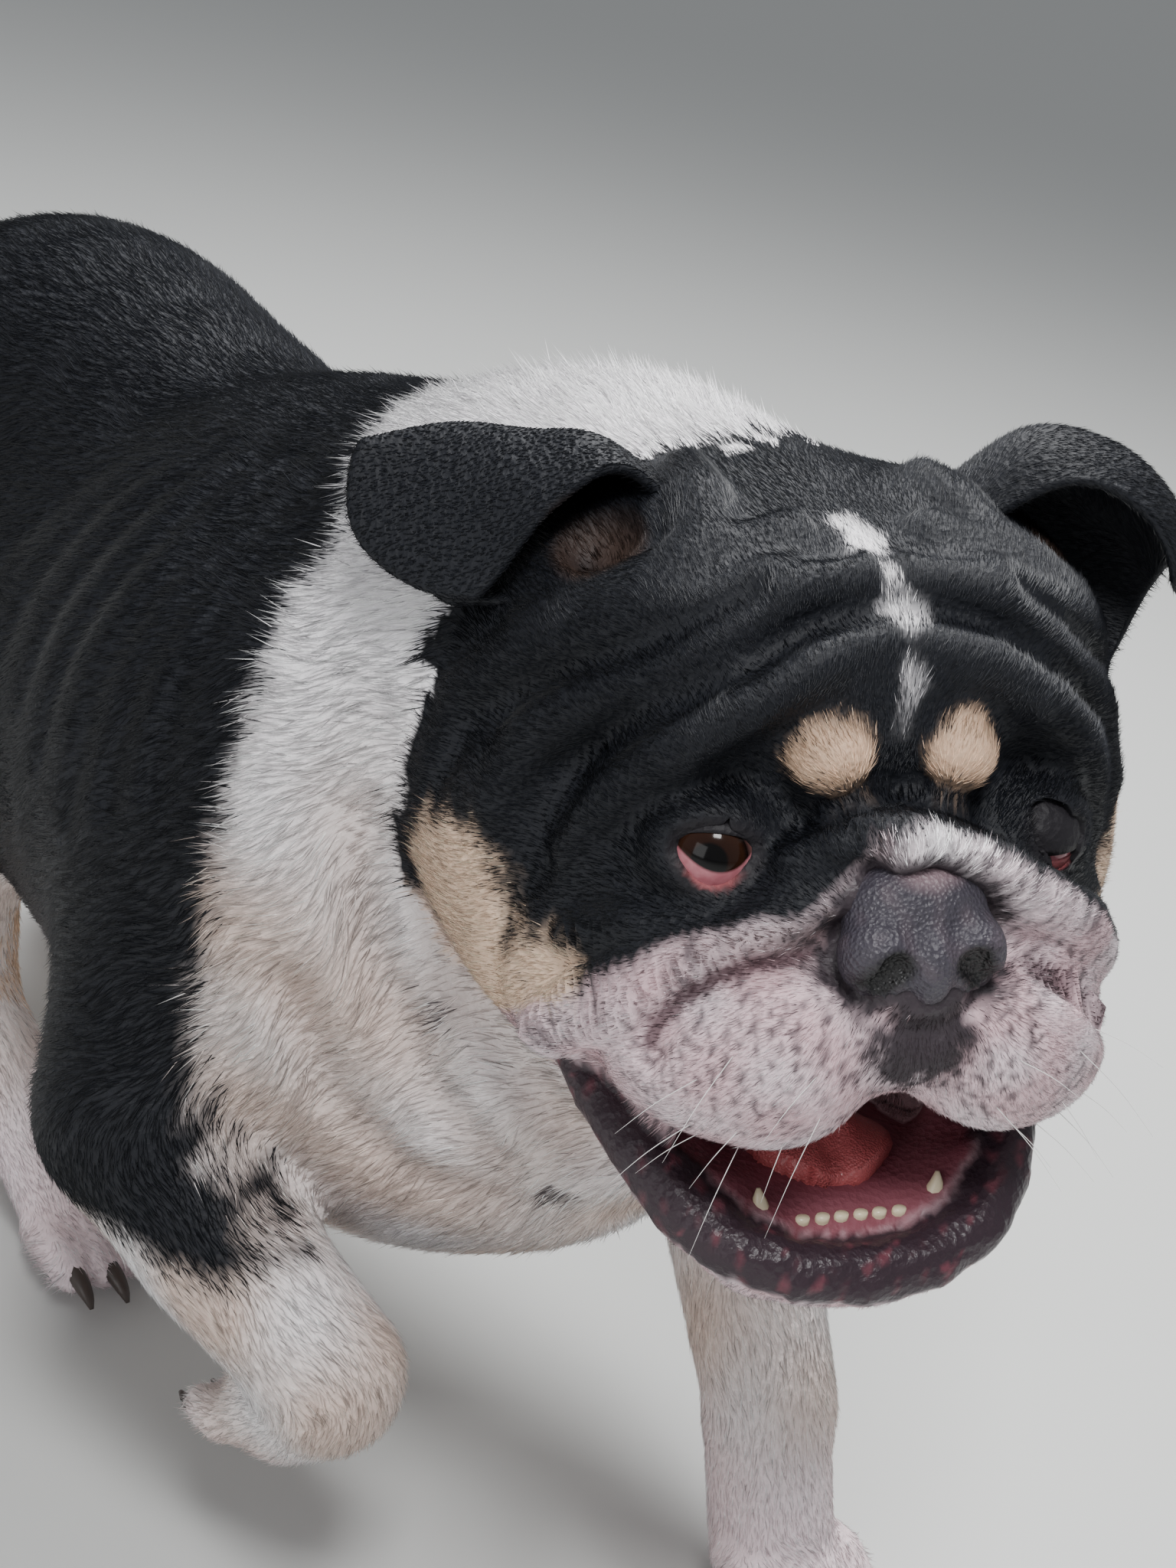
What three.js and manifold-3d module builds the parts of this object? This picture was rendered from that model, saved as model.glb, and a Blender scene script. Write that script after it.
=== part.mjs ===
// English bulldog in mid stride, life size, as a still museum model.
// Millimetres, +Z up. The dog faces -Y and its left side is on +X. The soles stand on Z = 0.
import * as THREE from 'three';
import { mergeVertices } from 'three/addons/utils/BufferGeometryUtils.js';
import Module from 'manifold-3d';

const wasm = await Module();
wasm.setup();

// Driving dimensions
// Every length below is on a dog 0.43 m high at the shoulder, and SIZE brings it to life size
const SIZE = 0.9;
const SEAM = 0.34;
const HEAD_PLACE = [16, 0, 387];
const HEAD_TURN = -23.2;
const HEAD_ROLL = -6.5;
const HEAD_NOD = -4.8;
const SKULL_HALF = 84;
const CHEEK_HALF = 128;
const EYE_OUT = 53;
const EYE_FRONT = -90;
const EYE_LEVEL = -7;
const EYE_RADIUS = 15;
const EYE_GAPE = 14;
const EYE_LOOK = 4;
const EYE_TURN = 20;
const LID_THICK = 4;
const EAR_THICK = 5;
const EAR_ROUND = 0.16;
const NECK_CUT = 120;
const LOIN_CUT = 315;
const RUMP_CUT = 430;

// Colours
const BLACK = { color: 0x1b1b20, roughness: 0.6, metalness: 0 };
const WHITE = { color: 0xe4dfdc, roughness: 0.8, metalness: 0 };
const TAN = { color: 0xc09468, roughness: 0.8, metalness: 0 };
const PINK = { color: 0xc9787a, roughness: 0.45, metalness: 0 };
const LIP = { color: 0x4a3d44, roughness: 0.4, metalness: 0 };
const NOSE = { color: 0x2e2c30, roughness: 0.35, metalness: 0 };
const EYE = { color: 0x17100d, roughness: 0.08, metalness: 0 };

const BOTH = [-1, 1];

// Forms. Each is a function that gives how far a point is outside its surface, less than 0 inside.
function ball(cx, cy, cz, rx, ry, rz) {
  return (x, y, z) => {
    const px = (x - cx) / rx;
    const py = (y - cy) / ry;
    const pz = (z - cz) / rz;
    const far = Math.sqrt(px * px + py * py + pz * pz);
    const qx = px / rx;
    const qy = py / ry;
    const qz = pz / rz;
    const slope = Math.sqrt(qx * qx + qy * qy + qz * qz);
    return slope > 1e-9 ? far * (far - 1) / slope : -Math.min(rx, ry, rz);
  };
}

function stretch(a, b) {
  const ex = b[0] - a[0];
  const ey = b[1] - a[1];
  const ez = b[2] - a[2];
  const long = ex * ex + ey * ey + ez * ez;
  return (x, y, z) => {
    const dx = x - a[0];
    const dy = y - a[1];
    const dz = z - a[2];
    const along = Math.min(1, Math.max(0, (dx * ex + dy * ey + dz * ez) / long));
    const px = dx - ex * along;
    const py = dy - ey * along;
    const pz = dz - ez * along;
    return Math.sqrt(px * px + py * py + pz * pz) - (a[3] + (b[3] - a[3]) * along);
  };
}

// A limb is a chain of round stretches through points that each have a radius.
function limb(...points) {
  const spans = points.slice(1).map((point, i) => stretch(points[i], point));
  return (x, y, z) => Math.min(...spans.map((span) => span(x, y, z)));
}

function softMin(a, b, soft) {
  const near = Math.max(soft - Math.abs(a - b), 0);
  return Math.min(a, b) - near * near / (4 * soft);
}

function blend(parts) {
  return (x, y, z) => {
    let far = 1e6;
    for (const [form, soft] of parts) far = softMin(far, form(x, y, z), soft);
    return far;
  };
}

function carve(form, cuts) {
  return (x, y, z) => {
    let far = form(x, y, z);
    for (const [cut, soft] of cuts) far = -softMin(-far, cut(x, y, z), soft);
    return far;
  };
}

const pair = (make, soft) => BOTH.map((side) => [make(side), soft]);

// Solids
function solidOf(geometry) {
  const bare = geometry.clone();
  bare.deleteAttribute('normal');
  bare.deleteAttribute('uv');
  const merged = mergeVertices(bare, 1e-4);
  const vertProperties = Float32Array.from(merged.attributes.position.array);
  const triVerts = Uint32Array.from(merged.index.array);
  return new wasm.Manifold(new wasm.Mesh({ numProp: 3, vertProperties, triVerts }));
}

function largest(solid) {
  const pieces = solid.decompose();
  return pieces.reduce((best, piece) => (piece.volume() > best.volume() ? piece : best));
}

function geometryOf(solid) {
  const mesh = solid.getMesh();
  const geometry = new THREE.BufferGeometry();
  geometry.setAttribute('position', new THREE.BufferAttribute(mesh.vertProperties, 3));
  geometry.setIndex(new THREE.BufferAttribute(mesh.triVerts, 1));
  geometry.computeVertexNormals();
  return geometry;
}

// A sphere is drawn out along an axis, and each of its points then moves along its own ray from
// the axis to the outermost place where the form ends. Rings crowd towards the axis's last point.
function grow(form, axis, shape) {
  const { around = 16, rings = 12, girth = 40, crowd = 1, up = [0, 0, 1], reach = 260, skin = 0 } = shape;
  const start = new THREE.SphereGeometry(1, around, rings);
  start.deleteAttribute('normal');
  start.deleteAttribute('uv');
  const merged = mergeVertices(start, 1e-5);
  const spine = new THREE.CatmullRomCurve3(axis.map((point) => new THREE.Vector3(...point)));
  const cap = girth * Math.PI / 2;
  const whole = 2 * cap + spine.getLength();
  const reference = new THREE.Vector3(...up);
  const position = merged.attributes.position;
  const ray = new THREE.Vector3();
  for (let i = 0; i < position.count; i += 1) {
    const polar = Math.acos(THREE.MathUtils.clamp(position.getY(i), -1, 1)) / Math.PI;
    const turn = Math.atan2(position.getZ(i), position.getX(i));
    const walked = polar ** crowd * whole;
    const share = THREE.MathUtils.clamp((walked - cap) / (whole - 2 * cap), 0, 1);
    const tip = walked < cap ? walked / cap : Math.min(1, (whole - walked) / cap);
    const tilt = walked < cap || walked > whole - cap ? tip * Math.PI / 2 : Math.PI / 2;
    const root = spine.getPoint(1 - share);
    const ahead = spine.getTangent(1 - share);
    const lift = reference.clone().addScaledVector(ahead, -reference.dot(ahead)).normalize();
    const side = lift.clone().cross(ahead);
    ray.set(0, 0, 0);
    ray.addScaledVector(side, -Math.cos(turn) * Math.sin(tilt));
    ray.addScaledVector(lift, Math.sin(turn) * Math.sin(tilt));
    ray.addScaledVector(ahead, Math.cos(tilt) * (walked < cap ? 1 : -1));
    ray.normalize();
    const far = edgeAlong(form, root, ray, reach, skin);
    position.setXYZ(i, root.x + ray.x * far, root.y + ray.y * far, root.z + ray.z * far);
  }
  return merged;
}

function edgeAlong(form, root, ray, reach, skin) {
  let far = reach;
  const gap = (at) => form(root.x + ray.x * at, root.y + ray.y * at, root.z + ray.z * at) - skin;
  for (let step = 0; step < 200; step += 1) {
    const left = gap(far);
    if (left < 0.02) break;
    far -= Math.max(0.6 * left, 0.02);
    if (far < 1) return 1;
  }
  return far;
}

// Head, in its own frame: the origin lies between the jaw hinges and the nose points along -Y
const skullParts = [
  [ball(0, 12, 24, SKULL_HALF, 92, 66), 1],
  ...pair((s) => ball(s * 60, 4, 38, 44, 60, 40), 30),
  ...pair((s) => ball(s * 78, 0, -30, CHEEK_HALF - 78, 60, 60), 30),
  ...pair((s) => ball(s * 66, -38, -62, 42, 46, 44), 24),
  ...pair((s) => ball(s * 44, -70, -24, 40, 36, 34), 20),
  [ball(0, -86, -36, 60, 42, 40), 20],
  [ball(0, -52, 38, 74, 50, 42), 24],
  [ball(0, 60, -20, 80, 50, 70), 30],
];
const browParts = [
  ...pair((s) => ball(s * 23, -94, 25, 17, 14, 17), 8),
  ...pair((s) => limb([s * 8, -84, 58, 8], [s * 28, -88, 52, 11], [s * 47, -88, 40, 12],
    [s * 63, -80, 25, 12], [s * 77, -68, 6, 11], [s * 84, -56, -16, 9]), 8),
  ...pair((s) => limb([s * 10, -72, 76, 7], [s * 35, -75, 70, 10], [s * 57, -68, 55, 11],
    [s * 77, -54, 37, 11], [s * 94, -40, 14, 10], [s * 104, -32, -12, 8]), 8),
  ...pair((s) => limb([s * 24, -52, 80, 8], [s * 54, -54, 68, 10], [s * 74, -44, 56, 10],
    [s * 94, -26, 38, 10], [s * 108, -6, 14, 8]), 8),
  ...pair((s) => ball(s * 46, -12, 68, 24, 26, 20), 12),
  ...pair((s) => ball(s * EYE_OUT, EYE_FRONT + 1, EYE_LEVEL + 1, 22, 18.5, 20), 6),
];
const muzzleParts = [
  ...pair((s) => ball(s * 36, -112, -61, 34, 34, 36), 10),
  ...pair((s) => ball(s * 54, -92, -72, 32, 40, 32), 12),
  [ball(0, -116, -46, 30, 30, 32), 10],
  ...pair((s) => limb([0, -117, 4, 10], [s * 24, -114, -4, 11], [s * 46, -106, -20, 12],
    [s * 66, -91, -42, 12], [s * 84, -68, -70, 10]), 5),
];

// A lid lies on the eyeball from corner to corner, and its middle stands lift above the eye's axis.
const lidOut = Math.sin(EYE_TURN * Math.PI / 180);
const lidAhead = Math.cos(EYE_TURN * Math.PI / 180);
function lidLine(side, lift) {
  return [-1.2, -0.7, 0, 0.7, 1.2].map((step) => {
    const across = step * EYE_GAPE;
    const up = EYE_LOOK + lift * Math.max(0, 1 - step * step);
    const deep = Math.sqrt(Math.max(20, EYE_RADIUS ** 2 - across * across - up * up));
    return [side * (EYE_OUT + across * lidAhead + deep * lidOut),
      EYE_FRONT + across * lidOut - deep * lidAhead, EYE_LEVEL + up];
  });
}

const headCreases = [
  [limb([0, -88, 80, 2], [0, -102, 62, 4], [0, -110, 40, 4], [0, -114, 20, 4]), 9],
  [limb([0, -148, -46, 2], [0, -152, -64, 2.5], [0, -146, -92, 4]), 6],
  ...pair((s) => limb([s * 12, -106, 43, 1], [s * 34, -106, 38, 3], [s * 52, -101, 22, 3],
    [s * 72, -86, 12, 2]), 6),
  ...pair((s) => limb([s * 8, -92, 69, 1], [s * 30, -95, 63, 3], [s * 52, -94, 49, 3], [s * 75, -82, 33, 3],
    [s * 88, -70, 14, 3], [s * 102, -55, -15, 2]), 7),
  ...pair((s) => limb([s * 12, -74, 82, 1], [s * 43, -82, 74, 3], [s * 66, -76, 58, 3],
    [s * 83, -62, 46, 3], [s * 102, -40, 30, 3], [s * 118, -20, 6, 2]), 7),
  ...pair((s) => limb([s * 27, -124, -18, 2], [s * 48, -127, -32, 3], [s * 70, -116, -48, 3],
    [s * 84, -98, -72, 2]), 6),
];
const headForm = carve(blend([...skullParts, ...browParts, ...muzzleParts]), headCreases);
const headAxis = [[0, 45, 10], [0, 15, 4], [0, -12, -8], [0, -40, -18]];
const headShape = { around: 46, rings: 32, girth: 60, crowd: 1.6 };

const cavityForm = blend([
  [ball(0, -88, -104, 46, 60, 22), 1],
  ...pair((s) => limb([s * 44, -86, -104, 14], [s * 82, -52, -98, 7]), 12),
]);

const noseForm = blend([
  [ball(0, -124, -15, 25, 14, 17), 1],
  ...pair((s) => ball(s * 16, -131, -26, 12, 13, 13), 5),
  [ball(0, -136, -29, 8, 10, 13), 4],
]);

const tongueForm = blend([
  [limb([0, -40, -112, 16], [0, -74, -122, 14]), 1],
  ...pair((s) => ball(s * 10, -81, -126, 18, 20, 10), 6),
]);

// Lower jaw, already swung open: the chin with its teeth, and the lip along its edge
const lipPoints = (s) => [[s * 75, -50, -97, 9], [s * 69, -64, -104, 10], [s * 60, -84, -115, 10.5],
  [s * 50, -102, -128, 11], [s * 38, -116, -136, 11], [s * 22, -123, -142, 11], [0, -126, -144, 11]];
const lipForm = blend(pair((s) => limb(...lipPoints(s)), 2));
const jawForm = blend([
  ...pair((s) => limb([s * 66, -24, -92, 20], [s * 64, -58, -106, 15], [s * 52, -86, -126, 15],
    [s * 34, -106, -142, 15]), 6),
  [ball(0, -100, -152, 40, 26, 15), 10],
  [ball(0, -56, -140, 56, 56, 20), 16],
]);
const teethForms = [
  ...pair((s) => limb([s * 29, -104, -142, 4.5], [s * 30, -106, -132, 4], [s * 31, -107, -124, 1.2]), 1),
  ...pair((s) => limb([s * 36, -90, -136, 3.5], [s * 36, -91, -128, 1.5]), 1),
  ...[-18, -11, -4, 4, 11, 18].map((x) => [limb([x, -112, -144, 3], [x, -114, -134, 1.8]), 1]),
];

// Body, in the dog's own frame
const neckParts = [
  [limb([14, 40, 370, 104], [8, 100, 354, 118], [0, 180, 312, 118]), 1],
  [ball(10, 78, 400, 88, 60, 82), 30],
  [limb([10, 0, 290, 66], [4, 60, 235, 84]), 50],
];
const chestParts = [
  [ball(0, 235, 268, 138, 175, 138), 60],
  [ball(0, 112, 222, 116, 95, 109), 50],
  ...pair((s) => ball(s * 100, 150, 280, 52, 84, 100), 40),
  [ball(0, 205, 345, 76, 110, 62), 50],
];
const hindParts = [
  [ball(0, 360, 262, 106, 120, 102), 60],
  [ball(0, 405, 334, 90, 120, 88), 50],
  [ball(0, 478, 322, 104, 92, 98), 50],
  ...pair((s) => ball(s * 74, 470, 260, 52, 80, 92), 40),
];
const trunkForm = blend([...neckParts, ...chestParts, ...hindParts]);

// Placing
const degrees = THREE.MathUtils.degToRad;
const group = new THREE.Group();
const headGroup = new THREE.Group();
headGroup.position.set(...HEAD_PLACE);
headGroup.rotation.set(degrees(HEAD_NOD), degrees(HEAD_ROLL), degrees(HEAD_TURN), 'ZYX');
headGroup.updateMatrix();
group.add(headGroup);
const asWorn = (solid) => solid.transform(headGroup.matrix.elements);

function add(name, solid, finish, parent = group) {
  const mesh = new THREE.Mesh(geometryOf(largest(solid)), new THREE.MeshStandardMaterial(finish));
  mesh.name = name;
  parent.add(mesh);
}

const cut = (solid, ...others) => others.reduce((left, other) => left.subtract(other), solid);
const hand = (side) => (side < 0 ? 'right' : 'left');

// A peg narrows from its root to its tip: a tooth, or a claw.
function peg(from, to, low, high) {
  const line = new THREE.Vector3(...to).sub(new THREE.Vector3(...from));
  const stump = new THREE.CylinderGeometry(high, low, line.length(), 6, 1);
  stump.translate(0, line.length() / 2, 0);
  const upright = new THREE.Vector3(0, 1, 0);
  stump.applyQuaternion(new THREE.Quaternion().setFromUnitVectors(upright, line.normalize()));
  stump.translate(...from);
  return solidOf(stump);
}

// Head and what it carries
const grown = (form, axis, shape, skin = 0) => solidOf(grow(form, axis, { ...shape, skin }));
const headSkin = grown(headForm, headAxis, headShape);
const headShell = grown(headForm, headAxis, headShape, SEAM + 0.2);
const cavity = grown(cavityForm, [[0, -50, -104], [0, -96, -104]], { around: 16, rings: 8, girth: 40 });
const eyeBall = (radius) => (side) => solidOf(new THREE.SphereGeometry(radius, 14, 9)
  .translate(side * EYE_OUT, EYE_FRONT, EYE_LEVEL));
const capped = (points, radius) => grown(limb(...points.map((point) => [...point, radius])), points,
  { around: 6, rings: 9, girth: radius, up: [0.2, 0, 1] });
const lids = BOTH.flatMap((side) => [10, -11].map((lift) => capped(lidLine(side, lift), LID_THICK)));
const sockets = BOTH.map((side) => solidOf(new THREE.SphereGeometry(1, 14, 8).scale(16, 15, 10.5)
  .translate(side * (EYE_OUT + 5), EYE_FRONT - 16, EYE_LEVEL + EYE_LOOK)));
const lidded = lids.reduce((all, one) => all.add(one), cut(headSkin, cavity, ...sockets));
add('head', cut(lidded, ...BOTH.map(eyeBall(EYE_RADIUS + SEAM + 0.1))), BLACK, headGroup);
BOTH.forEach((side) => add(`eye_${hand(side)}`, eyeBall(EYE_RADIUS)(side), EYE, headGroup));

const lipAxis = [...lipPoints(-1), ...lipPoints(1).reverse().slice(1)].map((point) => point.slice(0, 3));
const lipShape = { around: 9, rings: 24, girth: 9 };
const lipShell = grown(lipForm, lipAxis, lipShape, SEAM + 0.2);
add('lower_lip', cut(grown(lipForm, lipAxis, lipShape), headShell), LIP, headGroup);

const jawShape = { around: 16, rings: 11, girth: 60 };
const jawAxis = [[0, -44, -134], [0, -84, -146]];
const jawShell = grown(jawForm, jawAxis, jawShape, SEAM + 0.2);
const jaw = cut(grown(jawForm, jawAxis, jawShape), headShell, cavity, lipShell);
const canines = BOTH.map((side) => peg([side * 28, -102, -144], [side * 31, -106, -122], 4.6, 1));
const premolars = BOTH.map((side) => peg([side * 34, -88, -140], [side * 36, -89, -126], 3.6, 1.4));
const incisors = [-17, -10, -3.4, 3.4, 10, 17]
  .map((across) => peg([across, -106, -146], [across, -110, -130], 2.8, 2));
const teeth = [...canines, ...premolars, ...incisors];
add('lower_jaw', teeth.reduce((all, one) => all.add(one), jaw), WHITE, headGroup);

const nostrilLine = (side) => limb([side * 11, -150, -20, 3.5], [side * 12, -147, -27, 4.5],
  [side * 18, -142, -34, 2.5]);
const nostrilAxis = (side) => [[side * 11, -149, -22], [side * 12.5, -146.5, -28], [side * 17, -142.5, -33]];
const nostrils = BOTH.map((side) => grown(nostrilLine(side), nostrilAxis(side),
  { around: 8, rings: 8, girth: 4 }));
const nosePad = grown(noseForm, [[0, -112, -18], [0, -124, -22]],
  { around: 28, rings: 15, girth: 16, crowd: 1.3 });
add('nose', cut(nosePad, ...nostrils, headShell), NOSE, headGroup);

const tongueAxis = [[0, -50, -114], [0, -96, -124]];
const tongueShape = { around: 14, rings: 10, girth: 18 };
const tongueShell = grown(tongueForm, tongueAxis, tongueShape, SEAM + 0.2);
const tongue = grown(tongueForm, tongueAxis, tongueShape);
add('tongue', cut(tongue, headShell, jawShell, lipShell), PINK, headGroup);

// Ears. A cross-section of each runs from the lower rim up the back wall, over the crest and down
// the flap's hanging edge, and the five rails carry it from the skull to the rounded tip.
const earRails = {
  right: [
    [[54, -38, 54], [76, -34, 50], [98, -14, 46], [116, 6, 40], [126, 16, 38]],
    [[54, -10, 54], [76, 4, 50], [100, 18, 52], [118, 30, 50], [130, 30, 48]],
    [[46, 4, 76], [74, 16, 82], [102, 34, 80], [124, 42, 76], [136, 38, 70]],
    [[42, -14, 90], [70, 0, 98], [92, 14, 98], [114, 26, 97], [144, 30, 90]],
    [[43, -14, 82], [68, -18, 94], [94, -4, 88], [122, 8, 78], [154, 20, 58]],
    [[44, -20, 74], [65, -30, 86], [90, -24, 67], [114, -17, 46], [150, -4, 15]],
  ],
  left: [
    [[66, -44, 58], [80, -46, 44], [94, -42, 30], [106, -36, 24], [112, -32, 22]],
    [[58, -8, 52], [78, -4, 50], [98, -8, 42], [112, -16, 34], [118, -22, 28]],
    [[52, 6, 74], [78, 14, 80], [104, 10, 76], [122, -2, 64], [130, -14, 50]],
    [[52, -14, 92], [78, -4, 100], [104, -8, 97], [122, -18, 84], [132, -26, 64]],
    [[50, -16, 84], [78, -18, 99], [106, -24, 94], [124, -32, 76], [130, -36, 48]],
    [[52, -20, 76], [82, -34, 91], [106, -38, 82], [119, -42, 60], [118, -38, 31]],
  ],
};

function earSheet(side, thick) {
  const vectors = (points) => points.map(([x, y, z]) => new THREE.Vector3(side * x, y, z));
  const rails = earRails[hand(side)].map((points) => new THREE.CatmullRomCurve3(vectors(points)));
  const section = (along) => new THREE.CatmullRomCurve3(rails.map((rail) => rail.getPoint(along)));
  const rounded = (along, across) => along * (1 - EAR_ROUND * Math.abs(2 * across - 1) ** 3);
  const place = (along, across) => section(rounded(along, across)).getPoint(across);
  const leaf = new THREE.BoxGeometry(1, 1, 1, 8, 11, 1).translate(0.5, 0.5, 0);
  const position = leaf.attributes.position;
  const step = 0.02;
  for (let i = 0; i < position.count; i += 1) {
    const along = position.getX(i);
    const across = position.getY(i);
    const here = place(along, across);
    const low = Math.min(along, 1 - step);
    const left = Math.min(across, 1 - step);
    const byLength = place(low + step, across).sub(place(low, across));
    const byWidth = place(along, left + step).sub(place(along, left));
    const out = byLength.cross(byWidth).normalize();
    here.addScaledVector(out, side * position.getZ(i) * thick);
    position.setXYZ(i, here.x, here.y, here.z);
  }
  const index = leaf.index.array;
  if (side < 0) index.reverse();
  return solidOf(leaf);
}

const ears = BOTH.map((side) => cut(earSheet(side, EAR_THICK), headShell));
BOTH.forEach((side, i) => add(`ear_${hand(side)}`, ears[i], BLACK, headGroup));

// Trunk, parted by flat cuts. A shell is the same growth a little larger, for what grows from it.
const slab = (front, back) => solidOf(new THREE.BoxGeometry(800, back - front, 800)
  .translate(0, (front + back) / 2, 300));
const trunk = {
  neck: {
    axis: [[12, 0, 340], [6, 80, 320], [0, 160, 300]], ends: [-300, NECK_CUT], around: 24, rings: 13,
  },
  chest: {
    axis: [[0, 90, 270], [0, 210, 270], [0, 370, 270]], ends: [NECK_CUT, LOIN_CUT], around: 28, rings: 16,
  },
  loin: {
    axis: [[0, 290, 290], [0, 370, 290], [0, 460, 290]], ends: [LOIN_CUT, RUMP_CUT], around: 26, rings: 14,
  },
  rump: {
    axis: [[0, 400, 290], [0, 440, 290], [0, 490, 290]], ends: [RUMP_CUT, 900], around: 28, rings: 14,
  },
};
const earShells = BOTH.map((side) => earSheet(side, EAR_THICK + 1));
const worn = [headShell, jawShell, lipShell, tongueShell, ...earShells];
const trunkShells = [];
for (const [name, { axis, around, rings, ends: [from, to] }] of Object.entries(trunk)) {
  const shape = { around, rings, girth: 110, reach: 320 };
  const piece = grown(trunkForm, axis, shape).intersect(slab(from + SEAM, to));
  add(name, name === 'neck' ? cut(piece, ...worn.map(asWorn)) : piece, name === 'neck' ? WHITE : BLACK);
  trunkShells.push(grown(trunkForm, axis, shape, SEAM + 0.3).intersect(slab(from, to + SEAM)));
}

// A paw: the pastern, the pad under it and four toes that fan out ahead, each ending in a claw
function pawOf({ pastern, ahead, above, width }) {
  const heel = new THREE.Vector3(...pastern.at(-1).slice(0, 3));
  const forward = new THREE.Vector3(...ahead).normalize();
  const over = new THREE.Vector3(...above).normalize();
  const side = forward.clone().cross(over);
  const point = (across, on, up) => {
    const place = heel.clone().addScaledVector(side, across);
    return place.addScaledVector(forward, on).addScaledVector(over, up).toArray();
  };
  const toes = [-1.5, -0.5, 0.5, 1.5].map((step) => {
    const across = step * width / 4;
    const back = Math.abs(step) * 5;
    return { across, back };
  });
  const form = blend([
    [limb(...pastern), 1],
    ...toes.map(({ across, back }) => [limb([...point(across * 0.8, 0, 2), 12],
      [...point(across, 24 - back, 2), 11], [...point(across * 1.05, 37 - back, -4), 9.5]), 4]),
  ]);
  const claws = toes.map(({ across, back }) => ({
    from: point(across * 1.05, 41 - back, -2),
    to: point(across * 1.1, 55 - back, -9),
  }));
  return { form, claws, middle: point(0, 22, 0) };
}

// Legs, from the shoulder or hip down
const legs = {
  foreleg_right: {
    upper: [[-102, 150, 275, 50], [-134, 122, 190, 42]],
    lower: [[-135, 118, 180, 37], [-124, 76, 154, 33], [-104, 24, 126, 28]],
    paw: { pastern: [[-103, 24, 118, 28], [-99, 48, 92, 27]], ahead: [0.1, 0.75, -0.65],
      above: [0, -0.66, -0.75], width: 58 },
  },
  foreleg_left: {
    upper: [[104, 150, 275, 50], [116, 92, 196, 42]],
    lower: [[116, 82, 188, 37], [106, 30, 136, 33], [92, -26, 80, 29]],
    paw: { pastern: [[90, -32, 66, 28], [85, -54, 24, 27]], ahead: [-0.08, -1, 0],
      above: [0, 0, 1], width: 64 },
  },
  hindleg_right: {
    upper: [[-76, 462, 264, 72], [-104, 358, 208, 50]],
    lower: [[-105, 350, 196, 42], [-96, 352, 142, 30], [-88, 352, 104, 25]],
    paw: { pastern: [[-87, 346, 90, 24], [-76, 282, 42, 23], [-72, 256, 22, 23]],
      ahead: [0.15, -1, 0], above: [0, 0, 1], width: 58 },
  },
  hindleg_left: {
    upper: [[76, 470, 264, 72], [102, 436, 196, 50]],
    lower: [[103, 440, 184, 42], [98, 502, 138, 29], [94, 540, 112, 25]],
    paw: { pastern: [[94, 542, 96, 24], [92, 526, 46, 23], [90, 512, 22, 23]],
      ahead: [-0.05, -1, 0], above: [0, 0, 1], width: 58 },
  },
};
const aboveFloor = solidOf(new THREE.BoxGeometry(900, 1400, 500).translate(0, 200, 250));
for (const [name, { upper, lower, paw }] of Object.entries(legs)) {
  const shape = { up: [1, 0, 0], around: 12, rings: 9 };
  const axisOf = (points) => points.map((point) => point.slice(0, 3));
  const upperOf = (skin) => grown(limb(...upper), axisOf(upper), { ...shape, girth: upper[0][3] }, skin);
  const lowerOf = (skin) => grown(limb(...lower), axisOf(lower), { ...shape, girth: lower[0][3] }, skin);
  const foot = pawOf(paw);
  const pawAxis = [...axisOf(paw.pastern), foot.middle];
  const pawShape = { up: [1, 0, 0], around: 16, rings: 12, girth: 24, crowd: 1.3 };
  const pawSkin = grown(foot.form, pawAxis, pawShape);
  const clawed = foot.claws.reduce((all, { from, to }) => all.add(peg(from, to, 4, 1)), pawSkin);
  add(`${name}_upper`, cut(upperOf(0), ...trunkShells), BLACK);
  add(`${name}_lower`, cut(lowerOf(0), upperOf(SEAM + 0.1), ...trunkShells), WHITE);
  add(`${name}_paw`, cut(clawed, lowerOf(SEAM + 0.1), ...trunkShells).intersect(aboveFloor), WHITE);
}

const tailPoints = [[0, 560, 336, 18], [2, 584, 314, 15], [8, 590, 290, 9]];
const tail = grown(limb(...tailPoints), tailPoints.map((point) => point.slice(0, 3)),
  { around: 10, rings: 7, girth: 15, up: [1, 0, 0] });
add('tail', cut(tail, ...trunkShells), BLACK);

// The origin goes to the middle of the whole box, on the floor
group.updateMatrixWorld(true);
const whole = new THREE.Box3().setFromObject(group, true);
const middle = whole.getCenter(new THREE.Vector3());
group.scale.setScalar(SIZE);
group.position.set(-middle.x * SIZE, -middle.y * SIZE, -whole.min.z * SIZE);

export default group;
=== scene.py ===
# %% [markdown]
# # An English bulldog in mid stride
# This lesson dresses a plain solid model of a dog as a museum would: one skin over the whole
# body, wet eyes and nose, a tongue, teeth, claws and a short coat of three colours. The solids
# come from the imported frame, so each piece below is placed from them and not by eye.

# %% Load the frame
import math
from concurrent.futures import ThreadPoolExecutor
import bmesh
import bpy
import numpy as np
from mathutils import Euler, Matrix, Vector


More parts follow.
